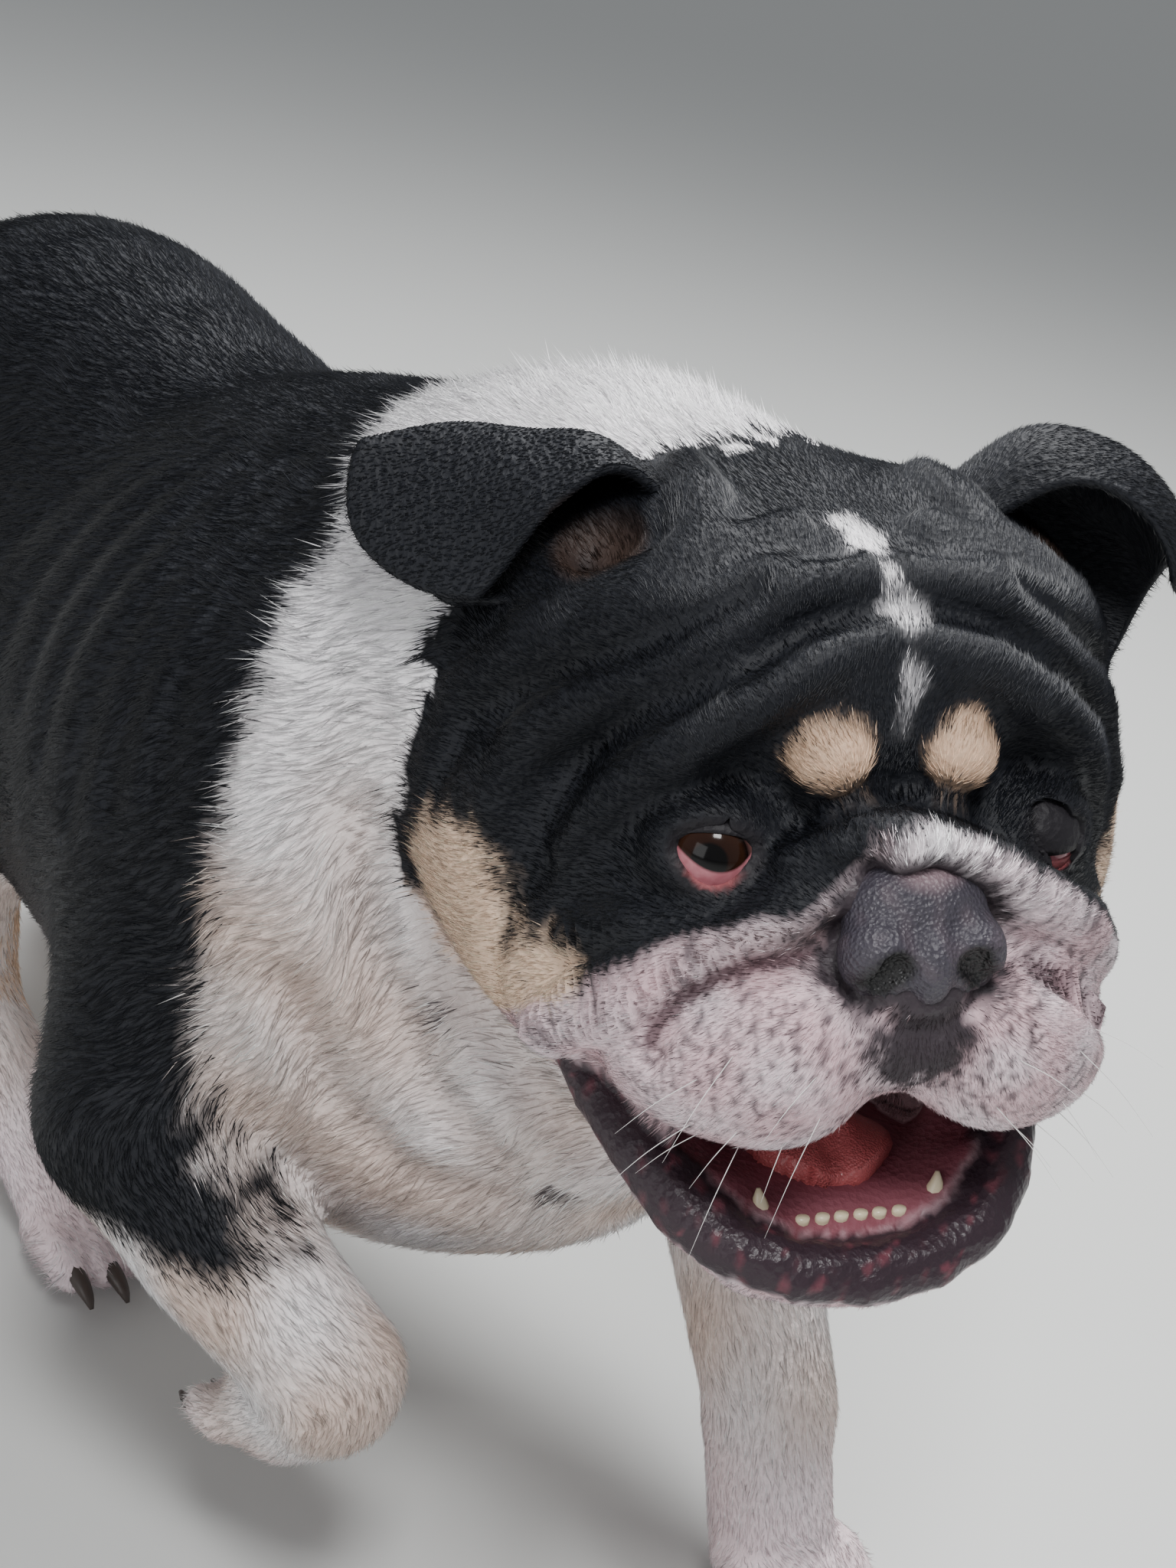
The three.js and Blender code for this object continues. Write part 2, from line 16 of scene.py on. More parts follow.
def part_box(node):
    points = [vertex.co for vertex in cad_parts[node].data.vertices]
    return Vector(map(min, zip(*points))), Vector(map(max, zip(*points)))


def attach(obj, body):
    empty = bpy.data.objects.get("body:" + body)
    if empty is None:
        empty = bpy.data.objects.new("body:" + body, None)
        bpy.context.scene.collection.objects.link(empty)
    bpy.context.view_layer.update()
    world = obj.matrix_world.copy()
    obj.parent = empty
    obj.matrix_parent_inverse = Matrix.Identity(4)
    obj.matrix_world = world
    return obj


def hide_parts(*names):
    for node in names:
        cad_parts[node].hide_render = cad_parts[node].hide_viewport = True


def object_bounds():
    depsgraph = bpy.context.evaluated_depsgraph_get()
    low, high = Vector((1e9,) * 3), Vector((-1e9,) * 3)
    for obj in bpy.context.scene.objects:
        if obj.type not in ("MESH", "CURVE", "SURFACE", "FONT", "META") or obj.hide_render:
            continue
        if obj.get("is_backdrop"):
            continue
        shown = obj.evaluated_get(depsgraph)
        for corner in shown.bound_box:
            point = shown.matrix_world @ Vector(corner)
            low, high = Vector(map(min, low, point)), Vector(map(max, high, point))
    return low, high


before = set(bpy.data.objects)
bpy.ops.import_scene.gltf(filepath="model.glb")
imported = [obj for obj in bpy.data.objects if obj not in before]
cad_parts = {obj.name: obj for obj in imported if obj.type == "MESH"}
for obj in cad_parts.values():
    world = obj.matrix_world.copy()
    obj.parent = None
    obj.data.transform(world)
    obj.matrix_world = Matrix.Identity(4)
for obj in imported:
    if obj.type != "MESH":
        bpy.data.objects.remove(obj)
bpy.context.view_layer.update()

# %% [markdown]
# ## The dog's own frame
# A face is easiest to shape with its nose on one axis and both eyes level, but this head is
# turned and tilted. So the head has a frame of its own, in millimetres, which is turned into
# the dog's frame, and the dog's frame is then scaled to life size and moved to where the solids
# stand. The two solid eyes are round and symmetric, so their boxes show that last move exactly.

# %% Head frame, dog frame and room frame
LIFE_SIZE = 0.9
HEAD_PLACE = np.array([16.0, 0.0, 387.0])
HEAD_NOD, HEAD_ROLL, HEAD_TURN = -4.8, -6.5, -23.2
EYE = np.array([53.0, -90.0, -7.0])
EYE_RADIUS = 15.0
BOTH = (-1, 1)

head_turn = Euler([math.radians(a) for a in (HEAD_NOD, HEAD_ROLL, HEAD_TURN)], "XYZ")
HEAD_AXES = np.array(head_turn.to_matrix())


def box_middle(node):
    low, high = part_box(node)
    return (np.array(low) + np.array(high)) / 2


eyes_in_room = (box_middle("eye_right") + box_middle("eye_left")) / 2
eyes_in_dog = HEAD_AXES @ np.array([0.0, EYE[1], EYE[2]]) + HEAD_PLACE
ROOM_SHIFT = eyes_in_room - eyes_in_dog * LIFE_SIZE / 1000


def to_dog(points):
    """Head frame to dog frame, both in millimetres."""
    return np.asarray(points, float) @ HEAD_AXES.T + HEAD_PLACE


def to_head(points):
    """Dog frame to head frame."""
    return (np.asarray(points, float) - HEAD_PLACE) @ HEAD_AXES


def to_room(points):
    """Dog frame in millimetres to the room in metres."""
    return np.asarray(points, float) * LIFE_SIZE / 1000 + ROOM_SHIFT


def from_room(points):
    """The room in metres to the dog frame in millimetres."""
    return (np.asarray(points, float) - ROOM_SHIFT) * 1000 / LIFE_SIZE


print("dog frame moved by", ROOM_SHIFT.round(4), "m")

# %% [markdown]
# ## Forms
# Flesh has no flat faces or sharp joins, so it is hard to model with boxes and edges. Here a
# form is a function that tells how far a point lies outside it. Round balls and tapering limbs
# are blended where muscles run together, and carved where the skin creases. A mesh laid near
# such a form can then be drawn onto it, so folds stay smooth at any fineness.

# %% Balls, limbs, blends and carving
def ball(x, y, z, rx, ry, rz):
    """A stretched ball: its middle, then its half widths."""
    centre, radii = np.array([x, y, z], float), np.array([rx, ry, rz], float)

    def far(p):
        scaled = (p - centre) / radii
        reach = np.sqrt((scaled ** 2).sum(1))
        slope = np.sqrt(((scaled / radii) ** 2).sum(1))
        return reach * (reach - 1) / np.maximum(slope, 1e-6)
    return far


def stretch(a, b):
    """A straight round limb that tapers from one end to the other."""
    start, end = np.array(a[:3], float), np.array(b[:3], float)
    run = end - start

    def far(p):
        step = p - start
        along = np.clip(step @ run / (run @ run), 0, 1)
        gap = step - along[:, None] * run
        return np.sqrt((gap ** 2).sum(1)) - (a[3] + (b[3] - a[3]) * along)
    return far


def limb(*points):
    spans = [stretch(a, b) for a, b in zip(points, points[1:])]
    return lambda p: np.minimum.reduce([span(p) for span in spans])


def soft_min(a, b, soft):
    overlap = np.maximum(soft - np.abs(a - b), 0)
    return np.minimum(a, b) - overlap * overlap / (4 * soft)


def blend(parts):
    """Forms flowed together, each over its own softness."""
    def far(p):
        total = np.full(len(p), 1e6)
        for form, soft in parts:
            total = soft_min(total, form(p), soft)
        return total
    return far


def carve(form, cuts):
    """A form with other forms cut out of it, each cut with its own softness."""
    def far(p):
        total = form(p)
        for cut, soft in cuts:
            total = -soft_min(-total, cut(p), soft)
        return total
    return far


def pair(make, soft):
    """The same form on the dog's right (-1) and left (1), each with its softness."""
    return [(make(side), soft) for side in BOTH]


def mirrored(points, side):
    return [(side * x, y, z, r) for x, y, z, r in points]


def near(form, middle, reach):
    """The same form, worked out only within reach of a middle, and far away elsewhere."""
    middle = np.array(middle, float)

    def far(p):
        total = np.linalg.norm(p - middle, axis=1)
        close = total < reach
        total[close] = form(p[close])
        return total
    return far


def relief(form, lines):
    """Raises the surface along each line, or presses it in where the height is below 0."""
    strokes = []
    for points, height, wide in lines:
        middle = np.mean(points, 0)
        reach = np.linalg.norm(np.array(points) - middle, axis=1).max() + 3 * wide
        strokes.append((near(limb(*[(*point, 0) for point in points]), middle, reach), height, wide))

    def far(p):
        total = form(p)
        for stroke, height, wide in strokes:
            total -= height * np.exp(-(stroke(p) / wide) ** 2)
        return total
    return far


def worn(form):
    """A form of the head frame, read in the dog frame."""
    return lambda p: form(to_head(p))


# %% [markdown]
# ## A smooth random value
# Crinkled lips, ragged colour edges and freckles all need a value that wanders from place to
# place. The sum of a few waves in random directions gives one, and six kinds of it are kept so
# that two effects don't wander together.

# %% Waves in random directions
NOISE_SEED = 7
WAVES_EACH = 8
KINDS = 6
noise_draw = np.random.default_rng(NOISE_SEED)
WAVES = noise_draw.normal(size=(KINDS * WAVES_EACH, 3))
WAVES /= np.linalg.norm(WAVES, axis=1)[:, None]
PHASES = noise_draw.uniform(0, 2 * math.pi, KINDS * WAVES_EACH)


def ripple(p, size, kind=0):
    """A smooth random value, mostly from -1 to 1, with humps about size apart."""
    waves = slice(kind * WAVES_EACH, (kind + 1) * WAVES_EACH)
    return np.sin(p @ (WAVES[waves].T * 2 * math.pi / size) + PHASES[waves]).mean(1) * 2


print(len(WAVES), "waves in", KINDS, "kinds")

# %% [markdown]
# ## The head
# A bulldog's head is a broad skull with heavy cheeks, and all its loose skin has to go
# somewhere: it rolls down the forehead in pairs of ridges, hangs in a thick fold over the nose
# and ends in two deep upper lips. Each of those is a limb or a ball here, on both sides at
# once, and each crease between them is a thin limb that is carved away.

# %% Skull, brow and upper lips
SKULL = [
    (ball(0, 12, 24, 84, 92, 66), 1),
    *pair(lambda s: ball(s * 60, 4, 38, 44, 60, 40), 30),
    *pair(lambda s: ball(s * 78, 0, -30, 50, 60, 60), 30),
    *pair(lambda s: ball(s * 66, -38, -62, 42, 46, 44), 24),
    *pair(lambda s: ball(s * 44, -70, -24, 40, 36, 34), 20),
    (ball(0, -86, -36, 60, 42, 40), 20),
    (ball(0, -52, 38, 74, 50, 42), 24),
    (ball(0, 60, -20, 80, 50, 70), 30),
]
RIDGES = [
    [(8, -84, 58, 9), (28, -89, 52, 12), (47, -89, 40, 13.5), (63, -81, 25, 13.5), (77, -69, 6, 12.5),
     (86, -57, -16, 10)],
    [(10, -72, 76, 8), (35, -76, 70, 11.5), (57, -69, 55, 12.5), (78, -55, 37, 12.5), (96, -40, 14, 11),
     (106, -32, -12, 9)],
    [(24, -52, 80, 9), (54, -54, 69, 11.5), (75, -44, 57, 11.5), (95, -26, 39, 11), (110, -6, 14, 8)],
]
BROW = [
    *pair(lambda s: ball(s * 21, -96, 25, 13.5, 13.5, 14.5), 5),
    *[(limb(*mirrored(ridge, s)), 6) for ridge in RIDGES for s in BOTH],
    *pair(lambda s: ball(s * 46, -12, 68, 24, 26, 20), 12),
    *pair(lambda s: ball(s * EYE[0], EYE[1] + 1, EYE[2] + 1, 22, 18.5, 20), 6),
]
EAR_RIM = [(42, -2, 88, 8), (45, -28, 85, 10), (51, -50, 76, 10), (63, -58, 66, 10), (77, -52, 56, 9),
           (90, -42, 48, 6)]
TOP_ROLL = [(-17, -119, 8, 7), (-4, -121.5, 6.5, 12), (19, -120.5, -2, 13.5), (40, -116, -15, 14),
            (62, -105, -30, 14), (80, -87, -50, 13), (92, -68, -72, 10)]
LOW_ROLL = [(-22, -119, -9, 8), (-31, -118, -17, 11), (-46, -116, -25, 13), (-61, -110, -34, 13.5),
            (-75, -100, -47, 14), (-87, -84, -62, 13.5), (-95, -67, -78, 11)]
BLACK_ROLL = [(-12, -118, 12, 6), (-30, -115, 1, 7), (-45, -111, -10, 8), (-60, -104, -20, 8.5),
              (-76, -91, -30, 9), (-90, -74, -42, 8)]
MUZZLE = [
    *pair(lambda s: ball(s * 36, -112, -61, 34, 34, 36), 10),
    (ball(-54, -92, -67, 32, 40, 30), 12),
    (ball(54, -92, -72, 32, 40, 32), 12),
    (ball(0, -116, -46, 30, 30, 32), 10),
    *[(limb(*roll), 4) for roll in (BLACK_ROLL, LOW_ROLL, TOP_ROLL)],
]
CREASES = [
    (limb((0, -88, 80, 3), (0, -102, 62, 5), (0, -110, 40, 5), (-1, -114, 24, 4)), 7),
    (limb((0, -148, -46, 2), (0, -152, -64, 2.5), (0, -146, -92, 4)), 6),
]
EAR_CUP = [(ball(-78, -24, 75, 14, 16, 12), 5), (limb((-78, -24, 70, 9), (-70, -10, 52, 5)), 4)]

# %% [markdown]
# ## Wrinkles
# A wrinkle is a line along the skin that is raised or pressed in, highest in its middle. Those of
# the forehead are alike on both sides. Over the nose they aren't: the dog's loose skin hangs in
# one thick white roll to its left and in a black one and a grey one to its right.

# %% Wrinkle lines of the forehead
def both_ways(points):
    """A line and its mirror image on the other side."""
    return [points, [(-x, y, z) for x, y, z in points]]


RAISED = [
    [(-8, -92, 61), (-19, -95, 59), (-30, -99, 55), (-47, -100, 44), (-60, -94, 32), (-73, -85, 21),
     (-87, -70, -4), (-95, -62, -24)],
    [(-10, -81, 74), (-23, -83, 73), (-35, -84, 71), (-57, -79, 56), (-76, -66, 38), (-96, -45, 20),
     (-111, -41, -10)],
    [(-25, -60, 80), (-56, -70, 68), (-70, -63, 61), (-92, -43, 41), (-113, -8, 18), (-124, -8, -8)],
]
PRESSED = [
    [(-10, -104, 42), (-30, -105, 38), (-44, -101, 29), (-56, -96, 20)],
    [(-8, -88, 68), (-27, -90, 64), (-51, -92, 48), (-73, -81, 33), (-86, -68, 15), (-100, -54, -15),
     (-107, -52, -42)],
    [(-12, -71, 78), (-43, -80, 71), (-64, -74, 57), (-81, -61, 44), (-99, -39, 29), (-115, -19, 7),
     (-126, -15, -17)],
    [(-98, -60, -24), (-107, -54, -38), (-111, -48, -60), (-106, -42, -84)],
]
WRINKLES = [(line, 3.2, 7) for points in RAISED for line in both_ways(points)]
WRINKLES += [(line, -5.5, 5.5) for points in PRESSED for line in both_ways(points)]
print(len(WRINKLES), "lines on the forehead")

# %% Crests and creases of the rolls over the nose
LOW_CREST = [(-20, -126, -4), (-32, -128, -15), (-48, -127, -22), (-60, -124, -28), (-73, -118, -39),
             (-84, -111, -51), (-92, -102, -62)]
TOP_CREST = [(-15, -121, 10), (-2, -127, 9), (19, -124, 0), (40, -119, -13), (62, -110, -28),
             (80, -92, -50)]
OVER_LOW = [(-17, -127, 1), (-37, -128, -13), (-57, -121, -18), (-72, -114, -26), (-85, -107, -40),
            (-94, -96, -53), (-102, -82, -66)]
UNDER_LOW = [(-26, -127, -20), (-32, -128, -23), (-44, -129, -28), (-55, -126, -32), (-65, -122, -39),
             (-72, -118, -47), (-76, -116, -54), (-79, -117, -62)]
OVER_TOP = [(-24, -112, 16), (-4, -120, 21), (14, -121, 15), (34, -117, 3), (52, -112, -9),
            (68, -103, -18), (84, -87, -32)]
UNDER_TOP = [(2, -131, -3), (20, -132, -13), (36, -131, -27), (52, -128, -41), (67, -120, -55),
             (80, -106, -71)]
IN_BLACK_ROLL = [(-33, -119, 4), (-45, -116, -7), (-60, -109, -18), (-73, -97, -21), (-83, -84, -14)]
UNDER_NOSE = [(-27, -126, -30), (-16, -136, -42), (0, -142, -48), (16, -136, -42), (27, -126, -30)]
WRINKLES += [
    (LOW_CREST, 3.5, 7), (TOP_CREST, 6, 9), (OVER_LOW, -8, 5), (UNDER_LOW, -10, 5),
    (OVER_TOP, -9, 5.5), (UNDER_TOP, -12, 6), (IN_BLACK_ROLL, -5, 5), (UNDER_NOSE, -3.5, 6),
]
print(len(WRINKLES), "lines on the whole head")

# %% [markdown]
# ## Lids, lips and the open mouth
# Two thick soft rolls lie round each eyeball from corner to corner, with the pocket of the eye
# between them. The lower lip is one long rounded rim that runs from one corner of the mouth
# round the chin to the other. The mouth itself is a hollow, so it is carved out of head and jaw
# together, which leaves the palate and the floor as one smooth wall.

# %% Eye pockets and lids
EYE_GAPE = 14.0
SLIT_HEIGHT = 4.0
LID_THICK = 4.0
lid_out, lid_ahead = math.sin(math.radians(20)), math.cos(math.radians(20))


def lid(side, lift):
    points = []
    for step in np.linspace(-1.2, 1.2, 9):
        across = step * EYE_GAPE * (1.06 if side < 0 else 0.95)
        up = SLIT_HEIGHT + lift * max(0, 1 - step * step)
        deep = math.sqrt(max(20, EYE_RADIUS ** 2 - across ** 2 - up ** 2))
        points.append((side * (EYE[0] + across * lid_ahead + deep * lid_out),
                       EYE[1] + across * lid_out - deep * lid_ahead, EYE[2] + up, LID_THICK))
    return limb(*points)


# The left eye is almost shut, so its pocket is smaller
POCKETS = [(ball(-EYE[0] - 5, EYE[1] - 16, EYE[2] + SLIT_HEIGHT, 16.5, 15, 10.5), 4),
           (ball(EYE[0] + 9, EYE[1] - 15, EYE[2] + SLIT_HEIGHT - 1, 11.5, 14, 6), 3)]
LIDS = [(lid(-1, 9), 2.5), (lid(-1, -13.5), 2.5), (lid(1, 1.5), 2.5), (lid(1, -8.5), 2.5)]
ear_rims = [(limb(*mirrored(EAR_RIM, -1)), 7), (limb(*[(x, y, z, r - 3) for x, y, z, r in EAR_RIM]), 7)]
whole_head = carve(blend(SKULL + BROW + MUZZLE + ear_rims), POCKETS + EAR_CUP)
head_form = blend([(relief(carve(whole_head, CREASES), WRINKLES), 1), *LIDS])
print(len(LIDS), "lids round the eyes")

# %% Lower lip, jaw and mouth
LIP = [(80, -52, -94, 8), (75, -65, -103, 9.5), (66, -85, -115, 10.5), (55, -103, -128, 11),
       (41, -117, -137, 11), (23, -124, -142, 11), (0, -126, -144, 11)]
lip_tube = blend(pair(lambda s: limb(*mirrored(LIP, s)), 2))


def lip_form(h):
    """The lip is crinkled, so its tube is thicker and thinner from place to place."""
    return lip_tube(h) + 0.6 * ripple(h, 11, 3) + 0.3 * ripple(h, 5, 4)


jaw_form = blend([
    *pair(lambda s: limb(*mirrored([(66, -24, -92, 20), (64, -58, -106, 15), (52, -86, -126, 15),
                                    (34, -106, -142, 15)], s)), 6),
    (ball(0, -100, -152, 40, 26, 15), 10),
    (ball(0, -56, -140, 56, 56, 20), 16),
])
mouth_form = blend([
    (ball(0, -88, -104, 46, 60, 22), 1),
    *pair(lambda s: limb((s * 44, -86, -104, 14), (s * 82, -52, -98, 7)), 12),
])
print(2 * len(LIP) - 1, "points along the lip")

# %% [markdown]
# ## Body and legs
# The trunk is a barrel chest slung between the shoulders, a lighter loin that arches up and a
# narrow rump. The legs are chains of tapering limbs, and each paw ends in four toes that fan
# out from the pad. The right foreleg is lifted with its paw folded back.

# %% Trunk and tail
TRUNK = [
    (limb((14, 40, 370, 104), (8, 100, 354, 118), (0, 180, 312, 118)), 1),
    (ball(10, 78, 388, 88, 60, 82), 30),
    (limb((10, 0, 290, 66), (4, 60, 235, 84)), 50),
    (ball(0, 235, 268, 138, 175, 138), 60),
    (ball(0, 112, 222, 116, 95, 109), 50),
    *pair(lambda s: ball(s * 100, 150, 280, 52, 84, 100), 40),
    (ball(0, 205, 345, 76, 110, 62), 50),
    (ball(0, 360, 262, 106, 120, 102), 60),
    (ball(0, 405, 334, 90, 120, 88), 50),
    (ball(0, 478, 322, 104, 92, 98), 50),
    *pair(lambda s: ball(s * 74, 470, 260, 52, 80, 92), 40),
]
TAIL = [(0, 560, 336, 18), (2, 584, 314, 15), (8, 590, 290, 9)]
print(len(TRUNK), "trunk forms")

# %% Legs and toes
LEGS = {
    "foreleg_right": dict(
        upper=[(-102, 150, 275, 50), (-134, 122, 190, 42)],
        lower=[(-135, 118, 180, 37), (-124, 76, 154, 33), (-104, 24, 126, 28)],
        pastern=[(-103, 24, 118, 28), (-99, 48, 92, 27)],
        ahead=(0.1, 0.75, -0.65), above=(0, -0.66, -0.75), width=58),
    "foreleg_left": dict(
        upper=[(104, 150, 275, 50), (116, 92, 196, 42)],
        lower=[(116, 82, 188, 37), (106, 30, 136, 33), (92, -26, 80, 29)],
        pastern=[(90, -32, 66, 28), (85, -54, 24, 27)],
        ahead=(-0.08, -1, 0), above=(0, 0, 1), width=64),
    "hindleg_right": dict(
        upper=[(-76, 462, 264, 72), (-104, 358, 208, 50)],
        lower=[(-105, 350, 196, 42), (-96, 352, 142, 30), (-88, 352, 104, 25)],
        pastern=[(-87, 346, 90, 24), (-76, 282, 42, 23), (-72, 256, 22, 23)],
        ahead=(0.15, -1, 0), above=(0, 0, 1), width=58),
    "hindleg_left": dict(
        upper=[(76, 470, 264, 72), (102, 436, 196, 50)],
        lower=[(103, 440, 184, 42), (98, 502, 138, 29), (94, 540, 112, 25)],
        pastern=[(94, 542, 96, 24), (92, 526, 46, 23), (90, 512, 22, 23)],
        ahead=(-0.05, -1, 0), above=(0, 0, 1), width=58),
}


def unit(v):
    return np.array(v, float) / np.linalg.norm(v)


def toes_of(leg):
    """Where the four toes of a paw start and end, and where their claws do."""
    heel, ahead, above = np.array(leg["pastern"][-1][:3], float), unit(leg["ahead"]), unit(leg["above"])
    side = np.cross(ahead, above)
    toes = []
    for step in (-1.5, -0.5, 0.5, 1.5):
        across, back = step * leg["width"] / 4, abs(step) * 5

        def point(wide, on, up):
            return tuple(heel + side * across * wide + ahead * (on - back) + above * up)
        line = [(*point(0.8, back, 2), 12), (*point(1, 24, 2), 11), (*point(1.05, 37, -4), 9.5)]
        toes.append(dict(line=line, claw=(point(1.05, 41, -2), point(1.1, 55, -9))))
    return toes


def leg_form(leg):
    toes = blend([(limb(*leg["pastern"]), 1), *[(limb(*toe["line"]), 4) for toe in toes_of(leg)]])
    return blend([(limb(*leg["upper"]), 1), (limb(*leg["lower"]), 14), (toes, 8)])


print(len(LEGS), "legs with", sum(len(toes_of(leg)) for leg in LEGS.values()), "toes")

# %% [markdown]
# ## The whole dog as one form
# A leg only matters to the points near it, and so does the face, so each is worked out only
# there. The head sinks into the neck with a soft crease and the mouth is hollowed out last of
# all, since the loose skin of the throat must not fill it.

# %% Folds of the throat and shoulder
THROAT_FOLDS = [
    [(-91, 42, 319), (-80, 26, 284), (-67, 5, 261), (-51, -12, 242), (-30, -22, 224)],
    [(-109, 63, 334), (-101, 50, 288), (-84, 28, 243), (-62, 7, 214)],
    [(-121, 64, 266), (-105, 53, 225), (-84, 33, 202), (-57, 8, 196)],
]
FRONT_FOLD = [(-82, 134, 423), (-106, 146, 396), (-129, 138, 371), (-138, 136, 356), (-148, 127, 321)]
MIDDLE_FOLD = [(-73, 182, 419), (-98, 179, 399), (-122, 175, 379), (-146, 175, 339), (-156, 167, 288)]
BACK_FOLD = [(-74, 234, 409), (-88, 252, 390), (-100, 261, 375), (-119, 273, 338), (-130, 275, 308)]


def between(one, other, share):
    """A fold part of the way from one line to another."""
    return (np.array(one, float) * (1 - share) + np.array(other, float) * share).tolist()


SHOULDER_FOLDS = [between(FRONT_FOLD, MIDDLE_FOLD, share) for share in (0, 0.5, 1)]
SHOULDER_FOLDS += [between(MIDDLE_FOLD, BACK_FOLD, share) for share in (0.33, 0.66, 1, 1.4)]
FOLDS = [(line, -9, 9) for points in THROAT_FOLDS for line in both_ways(points)]
FOLDS += [(line, -4.5, 7) for points in SHOULDER_FOLDS for line in both_ways(points)]
print(len(FOLDS), "folds on the body")

# %% One form for the flesh
def face_form(p):
    jaw = carve(jaw_form, [(mouth_form, 4)])(p)
    head = carve(head_form, [(mouth_form, 6)])(p)
    return np.minimum(head, soft_min(jaw, lip_form(p), 3))


LEG_MARGIN = 110
leg_parts = []
for leg in LEGS.values():
    points = np.array([p[:3] for p in leg["upper"] + leg["lower"] + leg["pastern"]], float)
    middle = (points.min(0) + points.max(0)) / 2
    reach = np.linalg.norm(points - middle, axis=1).max() + LEG_MARGIN
    leg_parts.append((near(leg_form(leg), middle, reach), 18))

face = near(worn(face_form), HEAD_PLACE + np.array([0, -20, -30]), 230)
mouth = near(worn(mouth_form), HEAD_PLACE + np.array([0, -60, -100]), 200)
body_only = carve(relief(blend(TRUNK + [(limb(*TAIL), 12)] + leg_parts), FOLDS), [(mouth, 6)])


def dog_form(p):
    return soft_min(body_only(p), face(p), 12)


probe = to_dog([[0, -160, -20], [0, -100, 40], [0, -88, -104]])
print("form at nose, brow and mouth", dog_form(probe).round(1))

# %% [markdown]
# ## One skin from the solids
# The solids meet at flat seams, which no animal has. So they are copied, each copy is swollen
# just enough to close its seams, and the Remesh modifier turns them all into one sheet of even
# squares. Every corner of it is then drawn onto the form, a little inside the outline, because
# the coat will stand that much above it. The face is cut finer than the rest, for its folds.

# %% Copy the flesh solids and close the seams
FLESH = ["head", "lower_lip", "lower_jaw", "neck", "chest", "loin", "rump", "tail"]
FLESH += [f"{leg}_{part}" for leg in LEGS for part in ("upper", "lower", "paw")]
SWELL = 0.0004
SQUARE = 0.0046


def mesh_object(name, mesh):
    obj = bpy.data.objects.new(name, mesh)
    bpy.context.scene.collection.objects.link(obj)
    return obj


def finish_mesh(bm, name):
    """A smooth-shaded mesh from a bmesh, which is freed."""
    bmesh.ops.recalc_face_normals(bm, faces=bm.faces)
    for polygon in bm.faces:
        polygon.smooth = True
    mesh = bpy.data.meshes.new(name)
    bm.to_mesh(mesh)
    bm.free()
    return mesh


def join_into(whole, part):
    """Adds one bmesh to another and frees it."""
    copy = finish_mesh(part, "copy")
    whole.from_mesh(copy)
    bpy.data.meshes.remove(copy)


flesh = bmesh.new()
for node in FLESH:
    part = bmesh.new()
    solid = bpy.data.objects[node]
    part.from_mesh(solid.data)
    part.transform(solid.matrix_world)
    bmesh.ops.remove_doubles(part, verts=part.verts, dist=1e-6)
    part.normal_update()
    for vert in part.verts:
        vert.co += vert.normal * SWELL
    join_into(flesh, part)
rough = mesh_object("rough", finish_mesh(flesh, "rough"))
remesh = rough.modifiers.new("remesh", "REMESH")
remesh.mode = "VOXEL"
remesh.voxel_size = SQUARE
even = bpy.data.meshes.new_from_object(rough.evaluated_get(bpy.context.evaluated_depsgraph_get()))
bpy.data.objects.remove(rough)
print("one sheet of", len(even.polygons), "squares")

# %% [markdown]
# ## Drawing the skin onto the form
# A corner moves straight down the slope of the form until it lies on it. Between rounds the
# sheet is smoothed a little, so the squares stay even where a fold pulls them together.

# %% Draw every corner onto the form
def coat_depth(p):
    """How far the skin lies under the outline, in the dog frame."""
    ahead = to_head(p)
    on_face = np.clip((40 - ahead[:, 1]) / 60, 0, 1) * (np.linalg.norm(ahead, axis=1) < 190)
    return 1.6 - 1.1 * on_face


def drawn_onto(points, form, rounds, most=5.0):
    """Points moved down the slope of a form until they lie on it, at most so far in a round."""
    p = points.copy()
    step = 0.25
    for _ in range(rounds):
        here = form(p)
        slope = np.stack([(form(p + np.eye(3)[k] * step) - here) / step for k in range(3)], 1)
        length = np.maximum((slope ** 2).sum(1), 0.15)
        move = -(here / length)[:, None] * slope
        size = np.linalg.norm(move, axis=1)
        p += move * (np.minimum(size, most) / np.maximum(size, 1e-9))[:, None]
    return p


def skin_form(p):
    return dog_form(p) + coat_depth(p)


def shared_out(work, points):
    """The same work on eight shares of the points, side by side."""
    with ThreadPoolExecutor(4) as pool:
        return np.concatenate(list(pool.map(work, np.array_split(points, 8))))


def corners(mesh_or_bm):
    return np.array([v.co for v in mesh_or_bm.verts])


def move_corners(bm, points):
    for vert, place in zip(bm.verts, points):
        vert.co = place


def relaxed(bm, chosen, factor):
    """Moves the chosen corners part of the way to the middle of their neighbours."""
    bmesh.ops.smooth_vert(bm, verts=chosen, factor=factor, use_axis_x=True, use_axis_y=True,
                          use_axis_z=True)


def skin_drawn(points, most=5.0):
    """Points of the room drawn onto the skin's form."""
    return to_room(shared_out(lambda p: drawn_onto(p, skin_form, 3, most), from_room(points)))


skin = bmesh.new()
skin.from_mesh(even)
bpy.data.meshes.remove(even)
for relax in (0.5, 0.4, 0.2):
    move_corners(skin, skin_drawn(corners(skin)))
    relaxed(skin, skin.verts, relax)
print("skin drawn,", len(skin.verts), "corners")

# %% Cut the face finer
def is_face(p):
    ahead = to_head(from_room(p))
    return (ahead[:, 1] < 30) & (np.abs(ahead[:, 0]) < 130) & (ahead[:, 2] > -180) & (ahead[:, 2] < 110)


